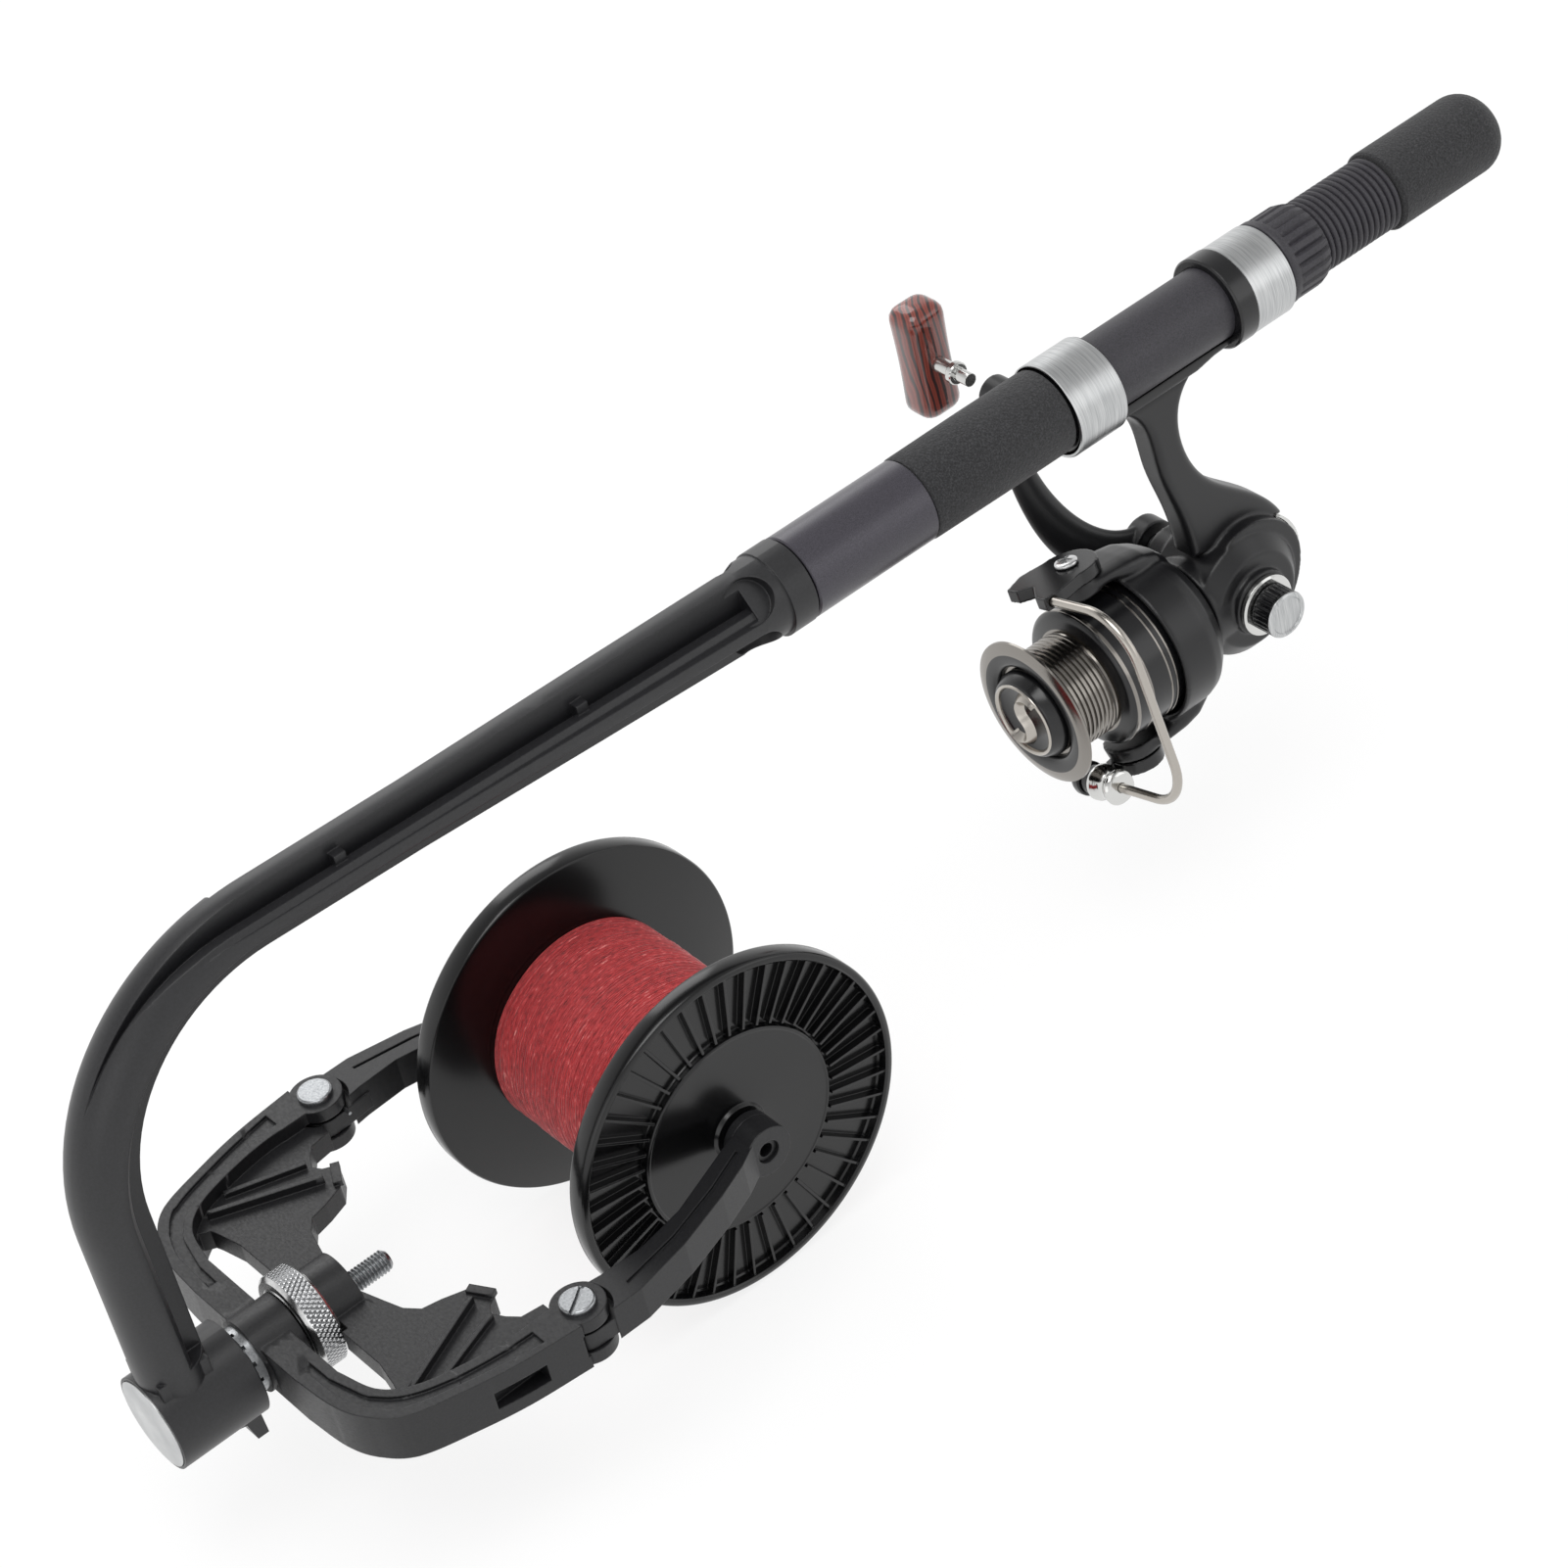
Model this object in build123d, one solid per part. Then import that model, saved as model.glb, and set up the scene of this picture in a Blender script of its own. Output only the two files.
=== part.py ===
from build123d import *
import math
import os

os.makedirs("parts", exist_ok=True)

# Fishing line winder with its reel and its bulk spool of line. Millimetres, +Z up.
# The tube runs along +X to the butt, the line spool turns about Y, the reel hangs in -Z.
# The origin is on the tube's axis where the rear grip starts.

run_gap = 0.1        # radial clearance of what turns or slides
seat_gap = 0.3       # between curved faces of different pieces

# ---- tube, grips and reel seat, stations from the butt end
grip_len = 40.0
grip_r = 11.3
grip_round = 7.0
core_r = 7.5
waist_len = 27.0
barrel_r = 10.2
thread_pitch = 2.3
thread_depth = 0.8
seat_nut_len = 14.5
seat_nut_r = 12.1
flute_count = 14
flute_r = 0.9
rear_ring_len = 13.5
rear_ring_r = 12.7
ring_wall = 0.9
hood_lip_len = 6.0
hood_lip_r = 13.4
hood_drop = 0.9      # how far the hoods hang toward the reel's foot
seat_open = 40.0     # between the front ring and the movable hood
front_ring_len = 15.5
front_ring_r = 13.1
fore_grip_len = 46.0
fore_grip_r = 11.7
sleeve_len = 38.5
sleeve_r = 11.3
foot_seat_depth = 9.0

nut_x1 = -waist_len
nut_x0 = nut_x1 - seat_nut_len
ring_x0 = nut_x0 - rear_ring_len
hood_x0 = ring_x0 - hood_lip_len
front_x1 = hood_x0 - seat_open
front_x0 = front_x1 - front_ring_len
fore_x0 = front_x0 - fore_grip_len
arm_x0 = fore_x0 - sleeve_len

# ---- curved arm and its pivot block
arm_r0 = 11.3
arm_r1 = 8.8
arm_straight = 160.0
arm_rise = 5.5
collar_len = 8.0
bend_r = 56.0
web_half = 2.8
flange_half = 1.6
bead_r = 2.9
bead_y = 5.7
pocket_fade = 8.0
pocket_start = 11.0
block_r = 13.0
block_len = 24.5
cap_r = 12.1
cap_thick = 1.5
bolt_drop = 110.5
bolt_r = 3.0
bolt_head_r = 5.5
bolt_head_len = 4.0
bolt_out = 13.0      # how far the bolt sticks out of the inner boss
washer_r = 9.0
washer_thick = 2.2
wave_r = 6.5
wave_thick = 1.2

slope = math.atan2(arm_rise, arm_straight)
bend_x = arm_x0 - arm_straight * math.cos(slope)
bend_z = arm_straight * math.sin(slope)
bend_c = (bend_x - bend_r * math.sin(slope), bend_z - bend_r * math.cos(slope))
leg_x = bend_c[0] - bend_r
block_x0 = leg_x - 9.0
block_x1 = block_x0 + block_len
wave_x0 = block_x1
washer_x0 = wave_x0 + wave_thick
boss_x0 = washer_x0 + washer_thick

# ---- bracket, knurled nut and spool arms
boss_r = 10.2
boss_len = 12.0
lock_nut_r = 13.7
lock_nut_len = 8.0
nut_play = 0.35
inner_boss_len = 8.5
beam_depth = 14.0    # in Z
beam_width = 8.5
web_depth = 6.0
slot_len = 40.0
pin_x = 61.0         # from the boss's face to the arms' pins
pin_y = 55.5
pin_r = 2.5
pin_head_r = 4.6
pin_head = 1.4
ear_r = 7.0
ear_thick = 3.6
reach = 65.7         # from the pins to the spool's axis
arm_hub_r = 7.0
arm_hub_bore = 3.2
arm_thick = 6.5
arm_height = 10.0

nut_face = boss_x0 + boss_len
inner_x0 = nut_face + lock_nut_len + 2 * nut_play
inner_x1 = inner_x0 + inner_boss_len
pivot_x = boss_x0 + pin_x
spool_x = pivot_x + reach
bolt_x1 = inner_x1 + bolt_out

# ---- line spool
flange_r = 48.5
flange_plate = 2.0
rim_depth = 4.2
rim_wall = 2.6
spool_half = 35.2
barrel_out = 21.0
hub_r = 12.0
rib_count = 24
rib_thick = 1.1
rib_in = 27.0
line_r = 29.0
turns = 12
strand_r = 1.9
strand_sides = 6

# ---- reel, stations from the front ring's front edge
reel_x = front_x0
axis_drop = 84.0
lip_r = 21.0
lip_x = -22.5
arbor_r = 14.5
arbor_len = 15.0
skirt_r = 20.0
skirt_len = 20.0
rotor_r = 22.5
rotor_x0 = 12.0
rotor_len = 19.0
rotor_tilt = 15.0
arm_ride = 26.5
bail_x = 3.0
bail_reach = 37.0
bail_wire_r = 1.3
wire_lead = 13.0
roller_r = 5.0
roller_len = 9.4
shaft_r = 2.0
crank_x = 46.5
crank_reach_x = -26.5
crank_reach_z = 57.0
body_half = 13.0
knob_len = 34.0
foot_half = 7.0
foot_thick = 2.6
stem_x = 31.0


def turned(points, start=None):
    """Solid of revolution about X from (x, radius) pairs."""
    profile = make_face(Plane.XZ * Polyline(*points, close=True))
    return revolve(profile, Axis.X)


def tube_x(x0, x1, outer, inner=0.0, y=0.0, z=0.0):
    """Plain ring or rod along X."""
    shape = turned([(x0, inner), (x0, outer), (x1, outer), (x1, inner)])
    return Pos(0, y, z) * shape


def tube_y(y0, y1, outer, inner=0.0, x=0.0, z=0.0):
    """Plain ring or rod along Y."""
    shape = Rot(0, 0, 90) * turned([(y0, inner), (y0, outer), (y1, outer), (y1, inner)])
    return Pos(x, 0, z) * shape


def turned_y(points, x=0.0, z=0.0):
    return Pos(x, 0, z) * (Rot(0, 0, 90) * turned(points))


def tube_z(z0, z1, outer, inner=0.0, x=0.0, y=0.0):
    shape = Pos(x, y, z0) * extrude(Circle(outer), z1 - z0)
    if inner > 0:
        shape -= Pos(x, y, z0 - 1) * extrude(Circle(inner), z1 - z0 + 2)
    return shape


def block(x0, x1, y0, y1, z0, z1):
    """Box by its six faces."""
    centre = ((x0 + x1) / 2, (y0 + y1) / 2, (z0 + z1) / 2)
    return Pos(*centre) * Box(x1 - x0, y1 - y0, z1 - z0)


def slab(points, z0, z1):
    """Prism of an (x, y) outline between two heights."""
    return Pos(0, 0, z0) * extrude(make_face(Polyline(*points, close=True)), z1 - z0)


def solid_of(shape):
    """The biggest solid of a result, as one Solid."""
    return max(shape.solids(), key=lambda s: s.volume)


nodes = {}


def keep(name, shape):
    nodes[name] = shape
    bodies = shape.solids()
    volume = sum(s.volume for s in bodies)
    print(name, len(bodies), "solid", round(volume), "mm3")


# ================= tube, grips and reel seat
bore = core_r + seat_gap
handle = tube_x(arm_x0, fore_x0, sleeve_r) + tube_x(fore_x0 - 1, grip_len - 6, core_r)
keep("handle_tube", handle)

fore_mid = fore_grip_r - 0.25
fore = turned([(fore_x0 + seat_gap, bore), (fore_x0 + seat_gap, fore_mid - 1),
               (fore_x0 + 1.2, fore_mid), (front_x0 - 1.0, fore_grip_r),
               (front_x0 - seat_gap, fore_grip_r - 0.6), (front_x0 - seat_gap, bore)])
keep("fore_grip", fore)

hood_in = front_ring_r - ring_wall
seat = tube_x(front_x0, -seat_gap, barrel_r, bore)
fixed = tube_x(front_x0, front_x1, hood_in - run_gap, barrel_r - 1, z=-hood_drop)
seat += fixed
tip_room = block(front_x1 - foot_seat_depth, front_x1 + 1, -foot_half - 0.6, foot_half + 0.6,
                 -barrel_r - foot_thick + 0.4, -barrel_r * 0.72)
seat -= tip_room - tube_x(front_x0, front_x1 + 2, barrel_r)
groove_count = int((waist_len - 1.5) / thread_pitch)
for i in range(groove_count):
    gx = nut_x1 + 1.2 + i * thread_pitch
    half = thread_pitch * 0.36
    seat -= turned([(gx, barrel_r + 0.2), (gx + half, barrel_r - thread_depth),
                    (gx + 2 * half, barrel_r + 0.2)])
keep("seat_body", solid_of(seat))

ring = tube_x(front_x0, front_x1, front_ring_r, hood_in, z=-hood_drop)
keep("front_ring", ring)

hood_sleeve = rear_ring_r - ring_wall
hood = turned([(hood_x0, barrel_r + run_gap), (hood_x0, hood_lip_r - 0.8),
               (hood_x0 + 0.8, hood_lip_r), (ring_x0 - 0.4, hood_lip_r),
               (ring_x0, hood_lip_r - 0.8), (ring_x0, hood_sleeve - run_gap),
               (nut_x0, hood_sleeve - run_gap), (nut_x0, barrel_r + run_gap)])
hood = Pos(0, 0, -hood_drop / 2) * hood
hood -= tube_x(hood_x0 - 1, nut_x0 + 1, barrel_r + run_gap)
hood -= block(hood_x0 - 1, hood_x0 + foot_seat_depth, -foot_half - 0.6, foot_half + 0.6,
              -barrel_r - foot_thick + 0.5, -barrel_r * 0.72)
keep("movable_hood", solid_of(hood))
keep("rear_ring", tube_x(ring_x0, nut_x0, rear_ring_r, hood_sleeve, z=-hood_drop / 2))

nut = turned([(nut_x0 + 0.4, barrel_r + run_gap), (nut_x0 + 0.4, seat_nut_r),
              (nut_x1 - 3.0, seat_nut_r), (nut_x1, seat_nut_r - 1.3),
              (nut_x1, barrel_r + run_gap)])
for i in range(flute_count):
    a = 2 * math.pi * i / flute_count
    nut -= tube_x(nut_x0 + 2.2, nut_x1 + 1, flute_r, 0,
                  (seat_nut_r + 0.35) * math.cos(a), (seat_nut_r + 0.35) * math.sin(a))
keep("seat_nut", nut)

rear = turned([(0, bore), (0, grip_r),
               (grip_len - grip_round, grip_r), (grip_len - 2.4, grip_r - 1.6),
               (grip_len - 0.7, grip_r - 4.0), (grip_len, grip_r - 7.5), (grip_len, 0),
               (grip_len - 5.5, 0), (grip_len - 5.5, bore)])
keep("rear_grip", rear)

# ================= curved arm
rod = turned([(arm_x0 - arm_straight, 0), (arm_x0 - arm_straight, arm_r1),
              (arm_x0 - 0.72 * arm_straight, arm_r1 + 0.15),
              (arm_x0 - 0.40 * arm_straight, arm_r1 + 1.2),
              (arm_x0 - 0.10 * arm_straight, arm_r0 - 0.5),
              (arm_x0 - collar_len / 2, arm_r0 - 0.4), (arm_x0 - collar_len / 2, 0)])
rise = Pos(arm_x0, 0, 0) * Rot(0, math.degrees(slope), 0) * Pos(-arm_x0, 0, 0)
straight = rise * rod
straight += turned([(arm_x0 - collar_len, 0), (arm_x0 - collar_len, arm_r0 + 0.2),
                    (arm_x0 - 0.8, arm_r0 + 0.2),
                    (arm_x0 - seat_gap, arm_r0 - 0.5), (arm_x0 - seat_gap, 0)])


def bend_of(section, fade=0.0):
    """Turn a (y, offset) section round the bend, offset measured outward."""
    centre = (bend_c[0] - fade * math.cos(slope), 0, bend_c[1] + fade * math.sin(slope))
    face = Plane(centre, x_dir=(0, 1, 0), z_dir=(math.cos(slope), 0, -math.sin(slope))) * section
    return revolve(face, Axis(centre, (0, -1, 0)), 90 + math.degrees(slope))


round_face = Pos(0, bend_r) * Circle(arm_r1)
bend = bend_of(round_face)
leg = tube_z(-bolt_drop, bend_c[1] + 0.01, arm_r1, x=leg_x)
arm = straight + bend + leg


def quadrant(side, out):
    """Pocket section beside the web: side is the Y sign, out the sign away from the bend."""
    y0 = web_half
    y1 = arm_r0 + 2
    o0 = flange_half
    o1 = arm_r0 + 2
    side_in = bead_y - 0.8 * bead_r
    side_out = bead_y + 0.8 * bead_r
    shape = make_face(Polyline((y0, o0), (side_in, o0), (side_in + 1.0, bead_r), (side_out - 1.0, bead_r),
                               (side_out, o0), (y1, o0), (y1, o1), (y0, o1), close=True))
    if out < 0:
        shape = mirror(shape, Plane.XZ)
    if side < 0:
        shape = mirror(shape, Plane.YZ)
    return shape


pit_r = 6.0
run_end = arm_x0 - pocket_start - pit_r
leg_foot = -bolt_drop + block_r + 3.0
for side in (1, -1):
    for out in (1, -1):
        section = quadrant(side, out)
        fade = pocket_fade if out > 0 else 0.0
        start = arm_x0 - arm_straight - fade
        flat = Plane((start, 0, 0), x_dir=(0, 1, 0), z_dir=(1, 0, 0)) * section
        arm -= rise * extrude(flat, run_end - start)
        aim = Vector(0, side, out)
        mouth = Plane((run_end, side * 5.6, out * 5.2), x_dir=(1, 0, 0), z_dir=aim)
        arm -= rise * extrude(mouth * Circle(pit_r), 12.0)
        arm -= bend_of(Pos(0, bend_r) * section, fade)
        if out < 0:
            foot_face = Plane((leg_x, 0, leg_foot), x_dir=(0, 1, 0), z_dir=(0, 0, 1)) * section
            arm -= extrude(foot_face, bend_c[1] - leg_foot)
for bx in (0.42, 0.86):
    cx = arm_x0 - bx * arm_straight
    cz = bx * bend_z
    for side in (1, -1):
        arm += block(cx - 1.6, cx + 1.6, min(side * 1, side * 5.4), max(side * 1, side * 5.4),
                     cz, cz + arm_r1 * 0.62)
arm += tube_x(block_x0, block_x1, block_r, z=-bolt_drop)
for side in (1, -1):
    arm += block(leg_x - 7.0, leg_x + 7.0, side * 6.6 - 0.9, side * 6.6 + 0.9,
                 -bolt_drop + 8, -bolt_drop + block_r + 2.4)
lug = Polyline((block_x1 - 11, -bolt_drop - 9), (block_x1 - 11, -bolt_drop - 13.6),
               (block_x1 - 4.5, -bolt_drop - 15.0), (block_x1 - 3.0, -bolt_drop - 21.0),
               (block_x1 + 0.2, -bolt_drop - 21.0), (block_x1 - 0.4, -bolt_drop - 9), close=True)
lug = extrude(Plane.XZ * make_face(lug), 4.0, both=True)
arm += lug
head_x1 = block_x0 + cap_thick + bolt_head_len + seat_gap
arm -= tube_x(block_x0 - 1, block_x0 + cap_thick, cap_r + 0.05, z=-bolt_drop)
arm -= tube_x(block_x0 - 1, head_x1, bolt_head_r + seat_gap, z=-bolt_drop)
arm -= tube_x(block_x0 - 1, block_x1 + 1, bolt_r + run_gap, z=-bolt_drop)
keep("arm_frame", solid_of(arm))
keep("end_cap", tube_x(block_x0 - 0.3, block_x0 + cap_thick, cap_r - 0.05, z=-bolt_drop))

head = turned([(head_x1 - bolt_head_len, 0), (head_x1 - bolt_head_len, bolt_head_r),
               (head_x1, bolt_head_r), (head_x1, bolt_r), (bolt_x1 - 0.8, bolt_r),
               (bolt_x1, bolt_r - 0.8), (bolt_x1, 0)])
keep("clamp_bolt", Pos(0, 0, -bolt_drop) * head)
keep("wave_washer", tube_x(wave_x0, wave_x0 + wave_thick, wave_r, bolt_r + run_gap, z=-bolt_drop))
detent = tube_x(washer_x0, washer_x0 + washer_thick, washer_r, bolt_r + run_gap, z=-bolt_drop)
for i in range(12):
    tooth = block(washer_x0 - 1, washer_x0 + 0.7, -0.6, 0.6, washer_r - 2.6, washer_r + 1)
    detent -= Pos(0, 0, -bolt_drop) * (Rot(i * 30.0, 0, 0) * tooth)
keep("detent_washer", solid_of(detent))
print("stations", round(block_x0, 1), round(boss_x0, 1), round(pivot_x, 1), round(spool_x, 1))

# ================= bracket, nut and spool arms, built about the bolt's axis at z = 0
def both(shape):
    return shape + mirror(shape, Plane.XZ)


def at_boss(points):
    return [(boss_x0 + x, y) for x, y in points]


half_depth = beam_depth / 2
out_edge = [(0.8, 0), (0.8, 22), (2.0, 36), (5.2, 45), (12.0, 52.4), (26, 57), (40, 60.2), (pin_x - 4, 62.2)]
in_edge = [(pin_x - 4, 51.5), (42, 51.6), (28.5, 49.2), (18.4, 45.6), (12.2, 39.5),
           (0.8 + beam_width, 28), (0.8 + beam_width, 0)]
beam = slab(at_boss(out_edge + in_edge), -half_depth, half_depth)
out_in = [(4, 20), (5, 35.4), (7.8, 43.2), (13.4, 49.8), (26.6, 54.4), (40, 57.6), (48, 59.2)]
in_out = [(48, 54.2), (41.6, 54.0), (27.8, 51.8), (16.6, 47.4), (9.8, 40.2), (6.6, 28), (6.4, 20)]
recess = slab(at_boss(out_in + in_out), half_depth - 0.9, half_depth + 1)
recess += slab(at_boss(out_in + in_out), -half_depth - 1, -half_depth + 0.9)
window = block(boss_x0 + 32, boss_x0 + 46, 56.0, 70.0, -3.4, 2.0)
beam -= recess
beam -= window
web_top = half_depth - 4.0
web_edge = [(8.5, 0), (8.5, 28), (12.0, 40), (18.4, 46.2), (28.5, 50), (42, 52.4), (57, 52.4),
            (57, 45.5), (51.0, 44.6), (48.6, 41.6), (46.8, 38.2), (48.2, 35.8), (50.8, 34.2),
            (51.0, 31.4), (47.5, 26.8), (41.5, 24.6), (36.5, 23.4), (33.6, 19.6), (32.0, 14.0),
            (inner_x1 - boss_x0 - 1.0, 0)]
web = slab(at_boss(web_edge), web_top - web_depth, web_top)
slot_in = 19.0
slot = [(0.8 + beam_width, -1), (0.8 + beam_width, 28), (10.6, 35.5), (12.6, slot_len),
        (14.6, slot_len + 1.4), (17.0, slot_len), (slot_in, 30), (slot_in, -1)]
web -= slab(at_boss(slot), -20, 20)


def web_rib(a, b, thick, z1):
    """Straight rib on the web between two (x, y) points."""
    dx = b[0] - a[0]
    dy = b[1] - a[1]
    size = math.hypot(dx, dy)
    bar = block(0, size, -thick / 2, thick / 2, web_top - 0.5, z1)
    return Pos(boss_x0 + a[0], a[1], 0) * (Rot(0, 0, math.degrees(math.atan2(dy, dx))) * bar)


web += web_rib((19, 44.0), (46.0, 31.5), 1.4, web_top + 2.2)
web += web_rib((26, 47.0), (46.0, 39.5), 1.4, web_top + 1.6)
web += web_rib((51.0, 34.0), (47.6, 27.6), 2.4, web_top + 1.2)
half = beam + web
half += tube_z(-half_depth, half_depth, ear_r, x=pivot_x, y=pin_y)
fork_gap = beam_depth - 2 * ear_thick
half -= tube_z(-fork_gap / 2, fork_gap / 2, ear_r + 1.0, x=pivot_x, y=pin_y)
half -= block(pivot_x, pivot_x + 20, pin_y - 9, pin_y + 9, -fork_gap / 2, fork_gap / 2)
half -= tube_z(-half_depth - 1, half_depth + 1, pin_r + 0.05, x=pivot_x, y=pin_y)
bracket = both(half)
bracket += tube_x(boss_x0, nut_face, boss_r) + tube_x(inner_x0, inner_x1, boss_r)
bracket -= tube_x(nut_face, inner_x0, lock_nut_r + 1.0)
bracket -= tube_x(boss_x0 - 1, inner_x1 + 1, bolt_r + run_gap)
keep("bracket", Pos(0, 0, -bolt_drop) * solid_of(bracket))

knurl = turned([(nut_face + nut_play, bolt_r + run_gap), (nut_face + nut_play, lock_nut_r - 0.7),
                (nut_face + nut_play + 0.7, lock_nut_r), (inner_x0 - nut_play - 0.7, lock_nut_r),
                (inner_x0 - nut_play, lock_nut_r - 0.7), (inner_x0 - nut_play, bolt_r + run_gap)])
keep("lock_nut", Pos(0, 0, -bolt_drop) * knurl)

pin_top = half_depth + pin_head
pin = turned([(-half_depth, 0), (-half_depth, pin_r), (half_depth + 0.02, pin_r),
              (half_depth + 0.02, pin_head_r), (pin_top - 0.4, pin_head_r),
              (pin_top, pin_head_r - 0.5), (pin_top, 0)])
pin = Rot(0, -90, 0) * pin
pin_z = -bolt_drop
keep("arm_pins", Pos(pivot_x, -pin_y, pin_z) * pin + Pos(pivot_x, pin_y, pin_z) * pin)

spring_r = 0.5
spring_coil = pin_r + 1.2
tongue_top = fork_gap / 2 - 2 * spring_r - 0.5
hub_in = spool_half + 4.0
hub_out = hub_in + arm_thick
arm_out = [(0, pin_y + 6.4), (14, pin_y + 6.4), (30, 58.6), (46, 53.2), (56, 49.0),
           (reach - 4, hub_out), (reach, hub_out)]
arm_in = [(reach, hub_in), (reach - 6, hub_in), (reach - 16, 43.2), (36, 48.6), (22, 51.2),
          (10, 50.6), (0, pin_y - 6.4)]
plan = [(pivot_x + x, y) for x, y in arm_out + arm_in]
spool_arm = slab(plan, -arm_height / 2, arm_height / 2)
spool_arm -= tube_z(-20, 20, ear_r + 1.2, x=pivot_x, y=pin_y)
tongue = slab([(pivot_x, pin_y + 6.2), (pivot_x + 12, pin_y + 6.2), (pivot_x + 12, pin_y - 5.2),
               (pivot_x, pin_y - 6.2)], -fork_gap / 2 + 0.3, tongue_top)
tongue += tube_z(-fork_gap / 2 + 0.3, tongue_top, 6.2, x=pivot_x, y=pin_y)
spool_arm += tongue
hub = tube_y(hub_in, hub_out, arm_hub_r, x=spool_x)
spool_arm += hub
groove = [(pivot_x + 13, pin_y + 2.6), (pivot_x + 30, 55.0), (pivot_x + 46, 49.8),
          (pivot_x + 58, 44.6), (pivot_x + 58, 43.6), (pivot_x + 46, 48.8),
          (pivot_x + 30, 54.0), (pivot_x + 13, pin_y + 1.6)]
spool_arm -= slab(groove, arm_height / 2 - 0.8, arm_height / 2 + 1)
spool_arm -= tube_z(-20, 20, pin_r + run_gap, x=pivot_x, y=pin_y)
spool_arm -= tube_y(hub_in - 1, hub_out + 1, arm_hub_bore, x=spool_x)
spool_arm = Pos(0, 0, -bolt_drop) * solid_of(spool_arm)
keep("far_arm", spool_arm)
keep("near_arm", mirror(spool_arm, Plane.XZ))

coil_z = fork_gap / 2 - spring_r - 0.25
coil_start = (pivot_x - spring_coil, pin_y, coil_z)
coil = ThreePointArc(coil_start, (pivot_x, pin_y + spring_coil, coil_z),
                     (pivot_x + spring_coil, pin_y, coil_z))
spring_leg = Line((pivot_x + spring_coil, pin_y, coil_z),
                  (pivot_x + spring_coil, pin_y - ear_r - 1.6, coil_z))
wire = Wire([coil.edge(), spring_leg.edge()])
spring = sweep(Plane(coil_start, z_dir=(0, 1, 0)) * RegularPolygon(spring_r, 6), wire)
spring = Pos(0, 0, -bolt_drop) * spring
keep("far_spring", spring)
keep("near_spring", mirror(spring, Plane.XZ))

# ================= line spool on its two cones
seat_mouth = 5.5
seat_end = 3.2
cone = turned_y([(hub_out - 1.0, 1.9), (hub_out - 1.0, arm_hub_bore - 0.05),
                 (hub_in, arm_hub_bore - 0.05), (hub_in, 7.0),
                 (spool_half + 1.6, 7.0), (spool_half + 1.6, seat_mouth - 0.15 + 1.6 - run_gap),
                 (spool_half - 3.4, seat_mouth - 0.15 - 3.4 - run_gap), (spool_half - 3.4, 0),
                 (spool_half - 1.4, 0), (spool_half + 1.0, 1.9)], spool_x, -bolt_drop)
keep("far_cone", cone)
keep("near_cone", mirror(cone, Plane.XZ))

face_in = spool_half - rim_depth
side_wall = [(0.0, barrel_out - 2.2), (0.0, barrel_out), (face_in - flange_plate, barrel_out),
             (face_in - flange_plate, flange_r - 0.5), (face_in - flange_plate + 0.5, flange_r),
             (spool_half - 0.8, flange_r), (spool_half, flange_r - 0.8),
             (spool_half, flange_r - rim_wall), (face_in, flange_r - rim_wall - 0.4),
             (face_in, hub_r), (spool_half, hub_r - 0.8), (spool_half, seat_mouth),
             (spool_half - seat_mouth + seat_end, seat_end),
             (face_in - flange_plate, seat_end), (face_in - flange_plate, barrel_out - 2.2)]
flange = turned_y(side_wall)
rib_len = flange_r - rim_wall - rib_in + 0.4
for i in range(rib_count):
    rib = block(rib_in, rib_in + rib_len, face_in - 0.2, spool_half - 0.6,
                -rib_thick / 2, rib_thick / 2)
    flange += Rot(0, 360.0 * i / rib_count, 0) * rib
flange += tube_y(face_in - 0.2, face_in + 1.2, rib_in + 0.6, rib_in - 0.6)
spool = flange + mirror(flange, Plane.XZ)
keep("line_spool", Pos(spool_x, 0, -bolt_drop) * solid_of(spool))

wall_y = face_in - flange_plate - seat_gap
core_out = line_r - 2 * strand_r - 0.3
keep("line_core", tube_y(-wall_y, wall_y, core_out, barrel_out + seat_gap, spool_x, -bolt_drop))

wind_r = line_r - strand_r
pitch = (2 * (wall_y - strand_r) - 0.2) / turns


def helix_point(t):
    a = 2 * math.pi * t
    y = -wall_y + strand_r + 0.1 + pitch * t
    return Vector(wind_r * math.cos(a), y, wind_r * math.sin(a))


def helix_aim(t):
    a = 2 * math.pi * t
    run = 2 * math.pi * wind_r
    return Vector(-run * math.sin(a), pitch, run * math.cos(a)).normalized()


def biarc(p0, t0, p1, t1):
    """Two arcs that meet with one tangent, from one point and tangent to the next."""
    v = p1 - p0
    a = 2 * (t0.dot(t1) - 1)
    b = -2 * v.dot(t0 + t1)
    c = v.dot(v)
    d = (-b - math.sqrt(b * b - 4 * a * c)) / (2 * a)
    q0 = p0 + t0 * d
    q1 = p1 - t1 * d
    aim = (q1 - q0).normalized()
    mid = (q0 + q1) * 0.5
    return [TangentArc(p0, mid, tangent=t0).edge(), TangentArc(mid, p1, tangent=aim).edge()]


arcs = []
for i in range(turns * 2):
    arcs += biarc(helix_point(i / 2), helix_aim(i / 2),
                  helix_point((i + 1) / 2), helix_aim((i + 1) / 2))
winding_path = Wire(arcs)
begin = Plane(helix_point(0), z_dir=helix_aim(0))
winding = sweep(begin * RegularPolygon(strand_r, strand_sides), winding_path)
keep("line_winding", Pos(spool_x, 0, -bolt_drop) * winding)
samples = 36
trace = [winding_path.position_at(i / (turns * samples)) for i in range(turns * samples + 1)]
least = min((trace[i] - trace[j]).length for i in range(0, len(trace), 3)
            for j in range(i + samples // 2, min(len(trace), i + 2 * samples)))
print("least gap between turns", round(least - 2 * strand_r, 2))

# ================= reel, in its own frame: x from the front ring, z from its axis
def on_reel(shape):
    return Pos(reel_x, 0, -axis_drop) * shape


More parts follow.
